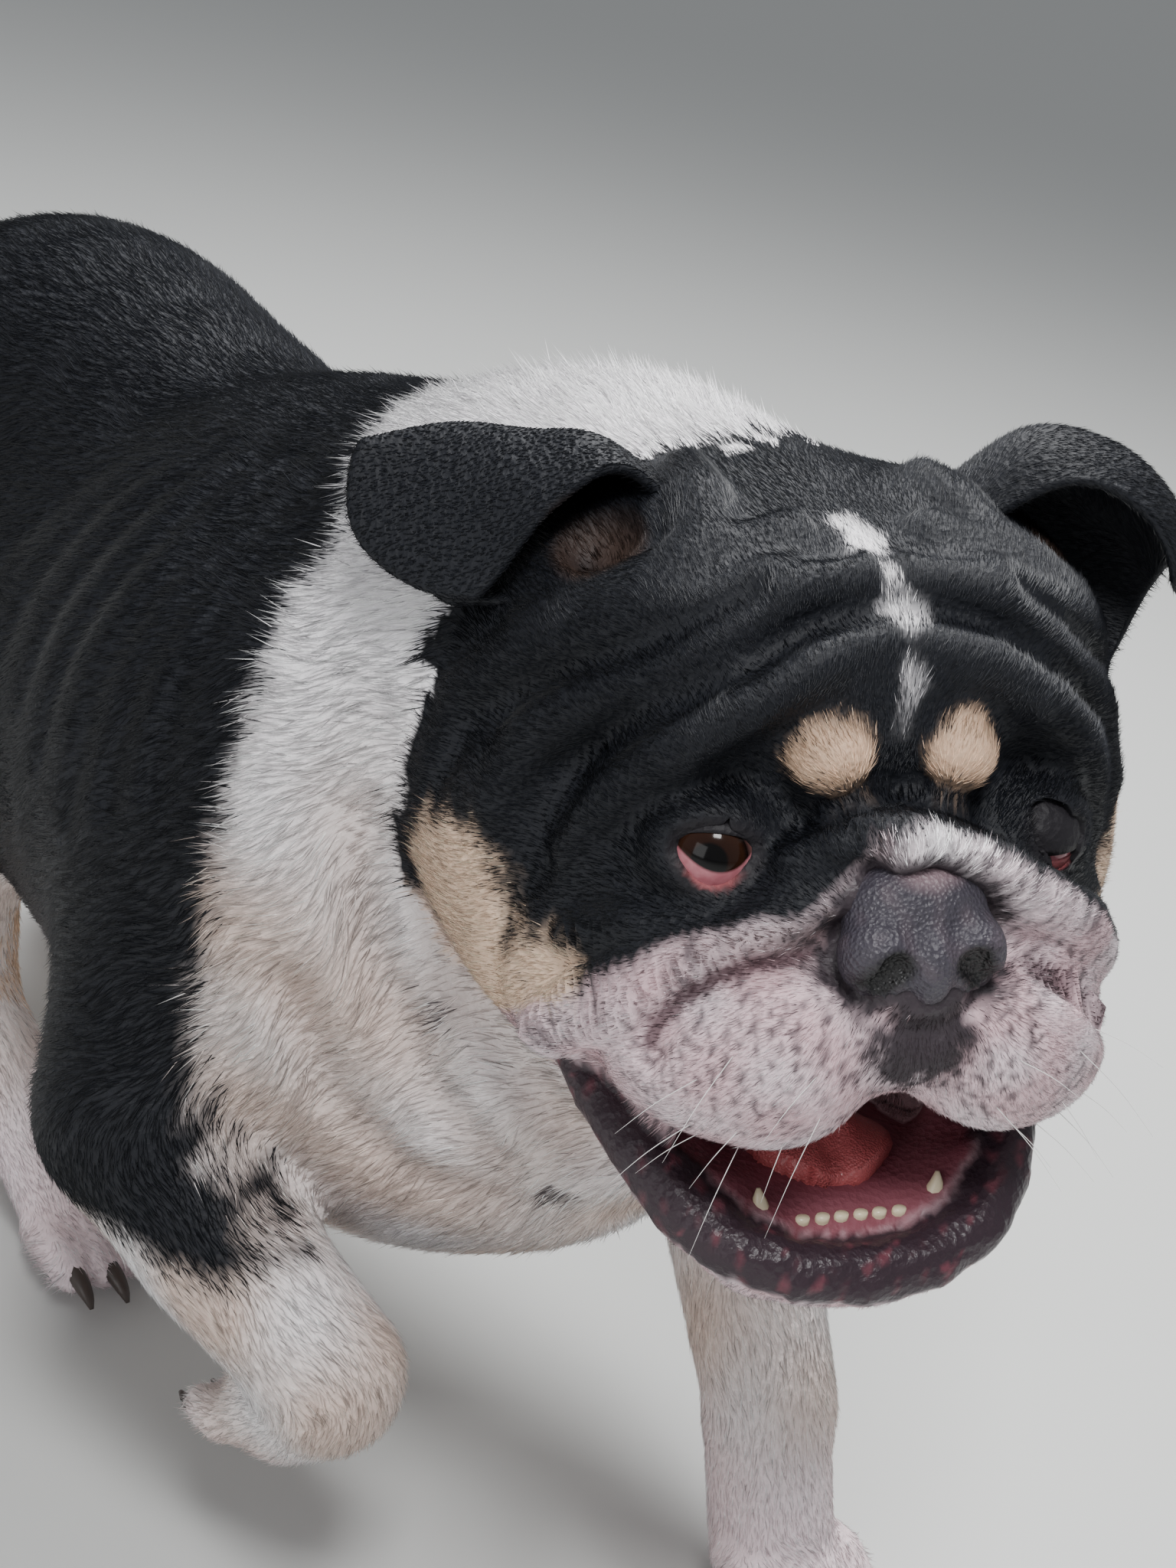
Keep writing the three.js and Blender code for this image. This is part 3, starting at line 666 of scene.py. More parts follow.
fine = is_face(corners(skin))
skin.verts.index_update()
edges = [e for e in skin.edges if fine[e.verts[0].index] and fine[e.verts[1].index]]
bmesh.ops.subdivide_edges(skin, edges=edges, cuts=1, use_grid_fill=True)
for relax in (0.5, 0.4, 0.25):
    places = corners(skin)
    fine = is_face(places)
    places[fine] = skin_drawn(places[fine], most=2)
    move_corners(skin, places)
    skin.verts.ensure_lookup_table()
    relaxed(skin, [skin.verts[i] for i in np.flatnonzero(fine)], relax)
print("skin with a finer face,", len(skin.verts), "corners")

# %% [markdown]
# ## Ears
# The ear is a thin leaf of skin, much finer than the squares of the body, so it is made apart.
# Rails run from the skull to the tip, and a cross-section over them goes from the lower rim up
# the back wall, over the crest and down the hanging edge. A flat sheet is bent to the rails,
# then given its thickness and a round rim, and its root is sunk into the head.

# %% Rails of the ears
EAR_RAILS = {
    -1: [
        [(54, -38, 54), (76, -34, 50), (98, -14, 46), (116, 6, 40), (126, 16, 38)],
        [(54, -10, 54), (76, 4, 50), (100, 18, 52), (118, 30, 50), (130, 30, 48)],
        [(46, 4, 76), (74, 16, 82), (102, 34, 80), (124, 42, 76), (136, 38, 70)],
        [(36, -10, 74), (70, 0, 98), (92, 14, 98), (114, 26, 97), (144, 30, 90)],
        [(36, -14, 72), (68, -10, 97), (94, -3, 92), (122, 8, 78), (154, 20, 58)],
        [(38, -22, 68), (66, -20, 94), (91, -20, 82), (114, -17, 50), (150, -4, 15)],
    ],
    1: [
        [(66, -44, 58), (80, -46, 44), (94, -42, 30), (106, -36, 24), (112, -32, 22)],
        [(58, -8, 52), (78, -4, 50), (98, -8, 42), (112, -16, 34), (118, -22, 28)],
        [(52, 6, 74), (78, 14, 80), (104, 10, 76), (122, -2, 64), (130, -14, 50)],
        [(44, -12, 76), (76, -4, 99), (104, -8, 97), (122, -18, 84), (132, -26, 64)],
        [(43, -16, 72), (76, -18, 97), (106, -24, 94), (124, -32, 76), (130, -36, 48)],
        [(45, -24, 66), (80, -33, 90), (106, -38, 82), (119, -42, 60), (118, -38, 31)],
    ],
}
print(len(EAR_RAILS[1]), "rails for each ear")

# %% Ear leaves
EAR_ROUND = 0.25
EAR_THICK = 3.6
RIM_ROUND = 0.0014


def smooth_line(points, shares):
    """Points at the shares of a smooth line through the given ones (a Catmull-Rom line)."""
    pts = np.asarray(points, float)
    pts = np.vstack([2 * pts[0] - pts[1], pts, 2 * pts[-1] - pts[-2]])
    at = np.clip(np.asarray(shares, float), 0, 1) * (len(pts) - 3)
    i = np.minimum(at.astype(int), len(pts) - 4)
    t = (at - i)[:, None]
    a, b, c, d = pts[i], pts[i + 1], pts[i + 2], pts[i + 3]
    return 0.5 * (2 * b + (c - a) * t + (2 * a - 5 * b + 4 * c - d) * t ** 2
                  + (3 * b - a - 3 * c + d) * t ** 3)


def ear_sheet(side):
    bm = bmesh.new()
    bmesh.ops.create_grid(bm, x_segments=44, y_segments=56, size=0.5)
    flat = np.array([v.co[:2] for v in bm.verts]) + 0.5
    places = np.zeros((len(flat), 3))
    for across in np.unique(flat[:, 1].round(5)):
        here = np.abs(flat[:, 1] - across) < 1e-4
        along = flat[here, 0] * (1 - EAR_ROUND * abs(2 * across - 1) ** 3)
        lines = np.stack([smooth_line(rail, along) for rail in EAR_RAILS[side]])
        places[here] = [smooth_line(lines[:, k], [across])[0] for k in range(lines.shape[1])]
    places[:, 0] *= side
    move_corners(bm, to_room(to_dog(places)))
    bmesh.ops.recalc_face_normals(bm, faces=bm.faces)
    return bm


corners_without_ears = len(skin.verts)
for side in BOTH:
    leaf = ear_sheet(side)
    leaf.normal_update()
    bmesh.ops.solidify(leaf, geom=leaf.faces, thickness=EAR_THICK * LIFE_SIZE / 1000)
    rim = [e for e in leaf.edges if len(e.link_faces) == 2 and e.calc_face_angle(0) > 1]
    bmesh.ops.bevel(leaf, geom=rim, offset=RIM_ROUND, offset_type="OFFSET", segments=2, profile=0.5,
                    affect="EDGES", material=-1)
    relaxed(leaf, leaf.verts, 0.5)
    join_into(skin, leaf)
print("skin with its ears,", len(skin.verts), "corners")

# %% [markdown]
# ## Eyelids
# A lid is a thin shell that lies on the eyeball, and both lids meet at the corners of the eye.
# So each is a slice of a ball whose poles are those corners, cut out between two angles in
# degrees. The dog's left eye is almost shut by the roll under it.

# %% Lids as slices of a ball
LID_SLICES = {-1: [(40, 100), (-100, -31)], 1: [(-3, 100), (-100, -13)]}
LID_GAP = 0.9
SHELL = 0.0009
POLE = 8


def lid_shell(side, low, high):
    across = unit((side * lid_ahead, lid_out, 0))
    forward = unit((side * lid_out, -lid_ahead, 0))
    bm = bmesh.new()
    bmesh.ops.create_grid(bm, x_segments=28, y_segments=14, size=0.5)
    flat = np.array([v.co[:2] for v in bm.verts]) + 0.5
    turn = np.radians(low + (high - low) * flat[:, 1])
    tip = np.radians(POLE + (180 - 2 * POLE) * flat[:, 0])
    round_eye = np.cos(tip)[:, None] * across + np.sin(tip)[:, None] * (
        np.cos(turn)[:, None] * forward + np.sin(turn)[:, None] * np.array([0, 0, 1]))
    move_corners(bm, to_room(to_dog(EYE * [side, 1, 1] + round_eye * (EYE_RADIUS + LID_GAP))))
    bmesh.ops.recalc_face_normals(bm, faces=bm.faces)
    bm.normal_update()
    bmesh.ops.solidify(bm, geom=bm.faces, thickness=SHELL)
    return bm


for side in BOTH:
    for low, high in LID_SLICES[side]:
        join_into(skin, lid_shell(side, low, high))
print("lids joined,", len(skin.verts), "corners")

# %% Keep the soles above the floor
ABOVE_FLOOR = 0.0003


def above_floor(points):
    """Points in metres, none lower than a hair above the floor."""
    return np.maximum(points, (-9, -9, ABOVE_FLOOR))


print("lowest skin corner", round(corners(skin)[:, 2].min() * 1000, 2), "mm")
move_corners(skin, above_floor(corners(skin)))
skin_mesh = finish_mesh(skin, "skin")
skin_object = mesh_object("skin", skin_mesh)
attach(skin_object, "root")
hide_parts(*FLESH, "ear_right", "ear_left")

# %% [markdown]
# ## Eyes
# A bulldog's eye is round, dark brown and wet, with a black pupil that almost fills it. In this
# dog the lower lid has turned a little and shows a pink crescent. The ball is a smooth sphere a
# hair wider than its solid, and its colours are rings around the line it looks along.

# %% Eyeballs
def keep(mesh, name, values, kind="FLOAT"):
    """Keeps one value, or one colour, at each corner of a mesh."""
    values = np.asarray(values, np.float32)
    if kind == "FLOAT_COLOR":
        values = np.hstack([values, np.ones((len(values), 1), np.float32)])
    layer = mesh.attributes.new(name, kind, "POINT")
    layer.data.foreach_set("value" if kind == "FLOAT" else "color", values.ravel())


CORNEA = 0.035
HAW_CURVE = 0.045


def eye_ball(side):
    bm = bmesh.new()
    bmesh.ops.create_uvsphere(bm, u_segments=96, v_segments=64, radius=1)
    ahead = HEAD_AXES @ unit((side * 0.42, -0.9, 0.12))
    turn = Vector((0, 0, 1)).rotation_difference(Vector(ahead))
    bmesh.ops.transform(bm, matrix=turn.to_matrix().to_4x4(), verts=bm.verts)
    out = corners(bm)
    facing = out @ ahead
    bulge = 1 + CORNEA * np.clip((facing - 0.72) / 0.28, 0, 1) ** 0.5
    centre = to_room(to_dog(EYE * [side, 1, 1]))
    move_corners(bm, centre + out * (EYE_RADIUS * LIFE_SIZE / 1000 * bulge)[:, None])
    mesh = finish_mesh(bm, "eyeball")
    local = out @ HEAD_AXES * EYE_RADIUS
    keep(mesh, "off_gaze", np.degrees(np.arccos(np.clip(facing, -1, 1))) / 90)
    keep(mesh, "haw", local[:, 2] + 1.4 - HAW_CURVE * (local[:, 0] - side * 3) ** 2)
    return mesh


eyes = []
for side, hand in zip(BOTH, ("right", "left")):
    eye = mesh_object(f"eyeball_{hand}", eye_ball(side))
    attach(eye, "root")
    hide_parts(f"eye_{hand}")
    eyes.append(eye)
print(len(eyes), "eyeballs of", len(eyes[0].data.polygons), "faces")

# %% [markdown]
# ## Nose and tongue
# The nose is a pebbled leather pad with two comma-shaped nostrils that sink into it. The tongue
# is a soft hump that lies on the floor of the mouth. Both are spheres drawn onto a form of
# their own, from outside, so their poles stay hidden at the back.

# %% Nose pad and tongue
NOSE = [
    (ball(0, -124, -15, 23, 15, 17), 1),
    *pair(lambda s: ball(s * 14.5, -133, -25, 12, 13, 13), 4),
    (ball(0, -137, -27, 8, 11, 13), 4),
]
NOSTRILS = pair(lambda s: limb((s * 11.5, -150, -20, 2.5), (s * 13, -145, -25, 5.4), (s * 17, -142, -31, 4),
                               (s * 23, -140, -33, 2.4)), 3)
NOSE_GROOVE = (limb((0, -149, -16, 0.8), (0, -150, -28, 1), (0, -146, -42, 1.4)), 3)
nose_form = carve(blend(NOSE), NOSTRILS + [NOSE_GROOVE])
tongue_form = carve(blend([
    (limb((0, -40, -112, 16), (0, -74, -122, 14)), 1),
    *pair(lambda s: ball(s * 10, -81, -126, 18, 20, 10), 6),
]), [(limb((0, -50, -96, 1), (0, -84, -114, 1.6), (0, -100, -122, 1)), 8)])


def grown_ball(name, form, centre, radius, rings):
    """A sphere laid round a form and drawn onto it, then smoothed and drawn on again."""
    bm = bmesh.new()
    bmesh.ops.create_uvsphere(bm, u_segments=rings * 2, v_segments=rings, radius=1)
    bmesh.ops.rotate(bm, matrix=Matrix.Rotation(math.radians(90), 3, "X"), verts=bm.verts)
    start = corners(bm) * radius + np.array(centre, float)
    move_corners(bm, drawn_onto(start, form, rounds=14, most=3))
    for _ in range(2):
        relaxed(bm, bm.verts, 0.4)
        move_corners(bm, drawn_onto(corners(bm), form, rounds=2, most=1))
    move_corners(bm, to_room(to_dog(corners(bm))))
    return mesh_object(name, finish_mesh(bm, name))


nose = grown_ball("nose_pad", nose_form, (0, -127, -19), (24, 20, 19), rings=72)
tongue = grown_ball("tongue_body", tongue_form, (0, -66, -118), (24, 34, 16), rings=40)
for piece, node in ((nose, "nose"), (tongue, "tongue")):
    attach(piece, "root")
    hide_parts(node)
print(len(nose.data.polygons), "faces of nose,", len(tongue.data.polygons), "of tongue")

# %% [markdown]
# ## Teeth and claws
# The lower front teeth are six small chisels between two canines, and they show because the
# jaw juts out. Claws are short, blunt and curved. Both are tapering pegs: a tube from the cone
# operator is cut into rings, and each ring is moved to its place along a line and narrowed.

# %% A tapering, curved peg
PEG_RINGS = 9


def peg(whole, points, around=10, flat=1.0):
    """Adds a peg through points that each have a radius."""
    steps = np.linspace(0, 1, PEG_RINGS)
    last = PEG_RINGS - 1
    spine = smooth_line([p[:3] for p in points], steps)
    wide = np.interp(steps, np.linspace(0, 1, len(points)), [p[3] for p in points])
    bm = bmesh.new()
    bmesh.ops.create_cone(bm, cap_ends=True, cap_tris=True, segments=around, radius1=1, radius2=1, depth=1)
    upright = [e for e in bm.edges if abs(e.verts[0].co.z - e.verts[1].co.z) > 0.5]
    bmesh.ops.subdivide_edges(bm, edges=upright, cuts=PEG_RINGS - 2, use_grid_fill=True)
    for vert in bm.verts:
        at = min(1, max(0, vert.co.z + 0.5)) * last
        i = min(last - 1, int(at))
        ahead = Vector(spine[i + 1] - spine[i]).normalized()
        side = ahead.cross(Vector((0, 1, 0.01))).normalized()
        up = side.cross(ahead)
        reach = float(np.interp(at, range(PEG_RINGS), wide)) * Vector(vert.co[:2]).length
        turn = math.atan2(vert.co.y, vert.co.x)
        middle = Vector(spine[i]).lerp(Vector(spine[i + 1]), at - i)
        vert.co = middle + (side * math.cos(turn) + up * math.sin(turn) * flat) * reach
    join_into(whole, bm)


print("a peg has", PEG_RINGS, "rings")

# %% Teeth
teeth = bmesh.new()
for side in BOTH:
    peg(teeth, [(side * 28, -102, -144, 4.8), (side * 29.5, -105, -134, 4.4),
                (side * 31, -106, -126, 2.8), (side * 31.5, -105, -121, 0.7)])
    peg(teeth, [(side * 34, -88, -140, 3.6), (side * 35, -89, -131, 3.4), (side * 36, -89, -126, 1.2)])
for across in (-17, -10, -3.4, 3.4, 10, 17):
    peg(teeth, [(across, -106, -146, 3), (across, -108.5, -137, 3.1), (across, -110, -130.5, 2.4)],
        flat=0.7)
move_corners(teeth, to_room(to_dog(corners(teeth))))
teeth_object = mesh_object("teeth", finish_mesh(teeth, "teeth"))
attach(teeth_object, "root")
print(len(teeth_object.data.polygons), "faces of teeth")

# %% Claws
claws = bmesh.new()
for leg in LEGS.values():
    above = unit(leg["above"])
    for toe in toes_of(leg):
        start, end = np.array(toe["claw"][0]), np.array(toe["claw"][1])
        run = end - start
        peg(claws, [(*(start - run * 0.3), 4.4), (*(start + run * 0.3 + above * 1.6), 3.9),
                    (*(start + run * 0.75 + above * 1.2), 2.6), (*(end - above * 0.5), 0.9)], flat=0.85)
print("lowest claw corner", round(to_room(corners(claws))[:, 2].min() * 1000, 2), "mm")
move_corners(claws, above_floor(to_room(corners(claws))))
claws_object = mesh_object("claws", finish_mesh(claws, "claws"))
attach(claws_object, "root")
print(len(claws_object.data.polygons), "faces of claws")

# %% [markdown]
# ## Markings
# This dog is black over its back, ears and forehead, white round the neck, chest and muzzle, and
# tan in small patches over the eyes and on the cheeks. One function gives the colour at any
# point, and both the skin and the coat ask it, so that they always agree. Where two colours
# meet, each tuft takes one or the other by chance, which gives the ragged edge of real hair.

# %% Edges and colours
def inside(far, edge):
    """1 well inside a form, 0 well outside it, and a blend over the edge."""
    t = np.clip(0.5 - far / (2 * edge), 0, 1)
    return t * t * (3 - 2 * t)


def tint(red, green, blue):
    """A colour as the eye reads it, turned into amounts of light."""
    c = np.array([red, green, blue]) / 255
    return np.where(c < 0.04045, c / 12.92, ((c + 0.055) / 1.055) ** 2.4)


def mix(base, over, amount):
    return base + (over - base) * amount[:, None]


# The black of the coat is its own black, lifted a little and tinted blue as painted sheen.
BLACK_AND_SHEEN, WHITE, CREAM = tint(20, 22, 28), tint(240, 237, 240), tint(210, 187, 174)
TAN, CHEEK, SOOT = tint(208, 176, 150), tint(224, 195, 171), tint(58, 51, 56)
PINKISH, PINK_SKIN, GRIZZLE = tint(234, 213, 219), tint(218, 180, 186), tint(92, 80, 80)
# The first two colours here are painted shade: in the folds of the throat and in the creases of the rolls.
FOLD_SHADE, CREASE_SHADE_COLOR, EAR_INSIDE = tint(168, 136, 118), tint(84, 62, 68), tint(66, 52, 46)
BARE_LIP, LIP_SPOT, MOUTH = tint(52, 40, 47), tint(120, 66, 76), tint(86, 42, 50)
EYE_RIM, FLESH_PINK = tint(30, 27, 31), tint(150, 80, 84)
print("white reflects", WHITE.round(2), "and black", BLACK_AND_SHEEN.round(3))

# %% Where each colour lies
# The edge of the black back, as height and place along the dog
BACK_EDGE = [(158, 45), (168, 42), (178, 53), (193, 74), (218, 85), (254, 91), (289, 92), (321, 97),
             (351, 103), (373, 110), (393, 121), (414, 118)]
# The rolls' upper edge by distance from the middle, as height plus a share of the way back
ROLL_LEAN = 0.6
ROLL_RIGHT = [(0, -4), (14, -7), (22, -17), (31, -27), (37, -30), (57, -32), (72, -35), (85, -43),
              (94, -48), (110, -52)]
ROLL_LEFT = [(0, -3), (19, -12), (40, -23), (62, -31), (80, -40), (100, -43), (110, -50)]
CHEEK_TAN = blend([(ball(s * 120, -30, -44, 20, 26, 24), 1) for s in BOTH]
                  + [(ball(s * 110, -46, -74, 26, 26, 20), 10) for s in BOTH]
                  + [(ball(s * 98, -74, -56, 13, 20, 11), 8) for s in BOTH])
BROW_TAN = blend([(ball(s * 21, -107, 28, 12, 14, 11.5), 1) for s in BOTH]
                 + [(ball(-34, -104, 24, 8, 9, 6), 4)])
STREAK = blend([(limb((-2, -50, 86, 6), (-1, -64, 79, 5.5)), 1),
                (limb((0, -74, 69, 7), (3, -84, 59, 8.5), (3, -92, 52, 4), (0, -103, 38, 1.5)), 1),
                (limb((0, -103, 38, 1.5), (-1, -108, 24, 2.5)), 1)])
nose_far = blend(NOSE)
SHADE_LOW = [(-33, -123, -29), (-48, -124, -30), (-54, -122, -33), (-60, -120, -36), (-64, -118, -40),
             (-68, -115, -45), (-71, -113, -50), (-74, -112, -55), (-76, -113, -60)]
# The creases of the rolls, along which shade is painted on the muzzle
ROLL_CREASE_SHADE_LINES = [limb(*[(*point, wide) for point in line])
                for line, wide in ((SHADE_LOW, 3.0), (UNDER_TOP, 5.8))]
throat_lines = [limb(*[(*point, 0) for point in line]) for line in THROAT_FOLDS]
top_crest = limb(*[(*point, 0) for point in TOP_CREST])
DARK_LIP = blend([(ball(0, -148, -52, 17, 14, 16), 1), (ball(0, -150, -74, 12, 12, 16), 6)])
SPOTS = blend([(ball(-86, 30, 272, 8, 8, 4), 1), (ball(-41, -6, 202, 6, 6, 4), 1)])
print(len(BACK_EDGE), "points along the edge of the black back")

# %% Colours of the body
def body_colors(p, pick):
    """The colour of the body, and how black it is."""
    heights, places = np.array(BACK_EDGE, float).T
    crown = np.clip((p[:, 2] - 404) / 20, 0, 1) * (1 - np.clip(np.abs(p[:, 0]) / 95, 0, 1) ** 2)
    behind = np.interp(p[:, 2], heights, places) + crown * 60 - p[:, 1]
    belly = 158 + np.clip((p[:, 1] - 150) / 150, 0, 1) * 25 - p[:, 2]
    # Lower on the body the white turns cream: partly the coat's creamier tone, partly painted shade under
    # light from above.
    cream_and_shade = np.clip(0.6 + 0.5 * ripple(p, 60, 2), 0, 1) * np.clip((390 - p[:, 2]) / 90, 0, 1)
    color = mix(np.tile(WHITE, (len(p), 1)), CREAM, cream_and_shade * 0.9)
    # Painted shade along the folds of the throat.
    throat_fold_shade = np.exp(-(np.minimum.reduce([fold(p) for fold in throat_lines]) / 9) ** 2)
    color = mix(color, FOLD_SHADE, throat_fold_shade * 0.5)
    haunch = pick(np.maximum(330 - p[:, 1], p[:, 2] - 205), 8)
    color = mix(color, TAN, haunch)
    color = mix(color, PINKISH, inside(p[:, 2] - 70, 30) * 0.8)
    armpit = np.where((p[:, 2] < 245) & (p[:, 1] < 165), 108 - np.abs(p[:, 0]), -50)
    black = pick(np.maximum.reduce([behind, belly, armpit]), 7)
    hind = inside(330 - p[:, 1], 4)
    black = np.maximum(black, hind * pick(205 - p[:, 2], 10))
    color = mix(color, BLACK_AND_SHEEN, black)
    return mix(color, SOOT, pick(SPOTS(p), 5) * 0.9), black


# %% Colours of the face
def face_colors(color, p, h, on, pick, dice):
    """The colour of the head laid over the body's, and how black the head is."""
    side = np.abs(h[:, 0])
    color = mix(color, np.tile(BLACK_AND_SHEEN, (len(p), 1)), on)
    roll = np.where(h[:, 0] < -6, np.interp(side, *np.array(ROLL_RIGHT, float).T),
                    np.interp(side, *np.array(ROLL_LEFT, float).T))
    over_roll = h[:, 2] + ROLL_LEAN * (h[:, 1] + 100) - roll
    muzzle = pick(np.maximum(over_roll, h[:, 1] + 30), 3, 0.5) * on
    low = pick(np.maximum(h[:, 2] + np.interp(side, [70, 95], [72, 60]), -side + 30), 7) * on
    cheek = pick(CHEEK_TAN(h), 6) * on
    fold = inside(np.abs(over_roll + 10) - 10, 6) * muzzle * (h[:, 0] < -14)
    fold *= np.interp(side, [20, 45, 62, 95], [1, 0.95, 0.6, 0.1])
    color = mix(color, CREAM, low)
    color = mix(color, CHEEK, cheek)
    color = mix(color, PINKISH, muzzle)
    # The crest of the roll over the nose is white: the roll's own white coat, and a painted highlight where
    # its top catches the light.
    crest_white_and_highlight = inside(top_crest(h) - 9, 3) * muzzle * (h[:, 0] > -12)
    color = mix(color, WHITE, crest_white_and_highlight)
    grizzle = fold * 0.85
    if dice is not None:
        other_dice = np.modf(dice * 7.31)[0]
        grizzle = (grizzle > other_dice).astype(float)
    color = mix(color, GRIZZLE, grizzle)
    streak = pick(STREAK(h), 3.5, 0.45) * on * 0.9
    brow = pick(BROW_TAN(h), 4, 0.6) * on
    color = mix(color, WHITE, streak * np.interp(h[:, 2], [38, 56], [0.25, 1]))
    color = mix(color, TAN, brow)
    color = muzzle_colors(color, p, h, muzzle, dice)
    return color, on * (1 - np.maximum.reduce([muzzle, low, cheek, streak, brow]))


def muzzle_colors(color, p, h, muzzle, dice):
    """Pink skin, freckles, painted shade along the creases of the rolls and the dark ring round the nose.
    """
    pinker = np.clip(0.4 + 0.7 * ripple(p, 26, 4), 0, 0.75) * muzzle * inside(h[:, 2] + 22, 8)
    color = mix(color, PINK_SKIN, pinker)
    freckles = inside(0.34 - ripple(p, 4.2, 3) * (0.75 + 0.4 * ripple(p, 22, 5)), 0.25) * muzzle
    color = mix(color, SOOT, freckles * 0.8)
    # Painted shade in the creases of the rolls
    crease_shade = inside(np.minimum(*[line(h) for line in ROLL_CREASE_SHADE_LINES]), 1) * muzzle
    color = mix(color, CREASE_SHADE_COLOR, crease_shade * 0.85 if dice is None else (crease_shade * 0.9 > dice))
    near_nose = inside(nose_far(h) - 7 - 3 * ripple(p, 7, 5), 4)
    groove = inside(DARK_LIP(h) - 3 - 3.5 * ripple(p, 8, 5) - 2 * ripple(p, 3, 1), 6)
    dark = np.maximum(near_nose, groove) * muzzle
    return mix(color, SOOT, dark if dice is None else (dark > dice) * 0.96)


print("the rolls' edge leans by", ROLL_LEAN)

# %% Colours of the lips, mouth, eyes and ear cups
# No hair grows closer to the middle of an eye than this
EYE_GAP = 18.4
LIP_BELOW = np.array([0, 0, 9])
EYES = np.array([EYE * [s, 1, 1] for s in BOTH])


def eye_far(h):
    return np.minimum.reduce([np.linalg.norm(h - eye, axis=1) for eye in EYES])


def on_gum(h, near_jaw, lowest):
    """The fleshy inner side of the lower jaw."""
    deep = mouth_form(h) < np.where(h[:, 1] < -75, 16, 6)
    return (jaw_form(h) < near_jaw) & deep & (h[:, 2] > lowest) & (h[:, 1] < -30)


def wet_colors(color, p, h, on):
    """The bare places laid over the coat, and how bare each point is."""
    low_side = inside(lip_form(h + LIP_BELOW) + 3.5, 2)
    rim = inside(np.minimum(lip_form(h), 60) - 2.5, 2) * on * (1 - low_side)
    hollow = inside(mouth_form(h) - 3, 2.5) * on
    lips = np.maximum(rim, hollow)
    spotted = inside(0.75 - ripple(p, 8, 3) - 0.4 * ripple(p, 4, 4), 0.25)
    color = mix(color, BARE_LIP, lips)
    color = mix(color, LIP_SPOT, lips * spotted * 0.6)
    color = mix(color, MOUTH, inside(mouth_form(h) + 6, 4) * 0.8)
    rims = inside(eye_far(h) - EYE_GAP - 0.2, 1.2) * on
    color = mix(color, EYE_RIM, rims * 0.9)
    under_eye = inside(eye_far(h) - 16.6, 0.6) * inside(h[:, 2] - EYE[2] + 3, 3) * on
    color = mix(color, FLESH_PINK, under_eye * 0.9)
    cup = np.linalg.norm((h - np.array([-78, -26, 72])) / [1, 1.15, 0.9], axis=1) - 15
    left_cup = np.linalg.norm((h - np.array([92, -16, 64])) / [1, 0.8, 1.1], axis=1) - 21
    color = mix(color, EAR_INSIDE, inside(np.minimum(cup, left_cup), 4) * on)
    gum = (on_gum(h, 5, -151) & (np.abs(h[:, 0]) < 56 + 0.6 * (h[:, 1] + 90))).astype(float) * on
    color = mix(color, LIP_SPOT * 1.2, gum * (1 - rim))
    return color, np.maximum.reduce([lips, rims * 0.12, inside(nose_far(h) - 2.5, 1.5) * on])


# %% All markings
def markings(p, is_ear, dice=None):
    """The colour at each point, how bare it is, and whether it is black."""
    h = to_head(p)
    ragged = ripple(p, 14, 0) * 3 + ripple(p, 5, 1) * 1.5

    def pick(far, edge, rough=1):
        amount = inside(far + ragged * rough, edge)
        return amount if dice is None else (amount > dice).astype(float)

    on_head = (face(p) < body_only(p) + 3 + ragged * 1.2) | is_ear | ((h[:, 1] < 10) & (h[:, 2] > 20))
    on = on_head.astype(float)
    color, black = body_colors(p, pick)
    color, head_black = face_colors(color, p, h, on, pick, dice)
    color, bare = wet_colors(color, p, h, on)
    return color, bare, np.maximum(black * (1 - on), head_black)


print("colour at the brow", markings(to_dog([[0, -100, 40]]), np.array([False]))[0].round(3))

# %% [markdown]
# ## Colour on the skin
# The colours are kept on the corners of the skin itself, as an attribute that its material reads.
# A second attribute tells where the skin is bare and wet, as on the lips and in the mouth.

# %% Put the markings on the skin
def array_of(mesh, name="co"):
    """The places, or the normals, of a mesh's corners as rows."""
    data = np.zeros(len(mesh.vertices) * 3, np.float32)
    mesh.vertices.foreach_get(name, data)
    return data.reshape(-1, 3).astype(float)


skin_points = from_room(array_of(skin_mesh))
skin_is_ear = np.arange(len(skin_points)) >= corners_without_ears
stacked = np.hstack([skin_points, skin_is_ear[:, None]])


def marked(rows):
    color, bare, black = markings(rows[:, :3], rows[:, 3] > 0.5)
    return np.hstack([color, bare[:, None], black[:, None]])


skin_marks = shared_out(marked, stacked)
keep(skin_mesh, "coat_color", skin_marks[:, :3], "FLOAT_COLOR")
keep(skin_mesh, "bare", skin_marks[:, 3])
print("share of black corners", round(float(skin_marks[:, 4].mean()), 2))

# %% [markdown]
# ## The lie of the coat
# Hair lies back from the nose over the head, back and down along the body, and down the legs.
# A tuft is a thin spike with three sides whose root is sunk in the skin. Short spikes stand close
# together on the face, longer ones further apart on the body, and those of the nape stand up.

# %% The way along the legs
def along_bones(p):
    """The way each leg runs near a point, and how close its bones are."""
    flow, best = np.zeros_like(p), np.full(len(p), 1e3)
    for leg in LEGS.values():
        heel = np.array(leg["pastern"][-1][:3], float)
        toe = (*(heel + unit(leg["ahead"]) * 50), 20)
        chain = [*leg["lower"], *leg["pastern"], toe]
        for a, b in zip(chain, chain[1:]):
            near_bone = stretch(a, b)(p)
            closer = near_bone < best
            best[closer] = near_bone[closer]
            flow[closer] = unit(np.subtract(b[:3], a[:3]))
    return flow, best


print("legs run down by", along_bones(np.array([LEGS["foreleg_left"]["lower"][1][:3]], float))[0].round(2))

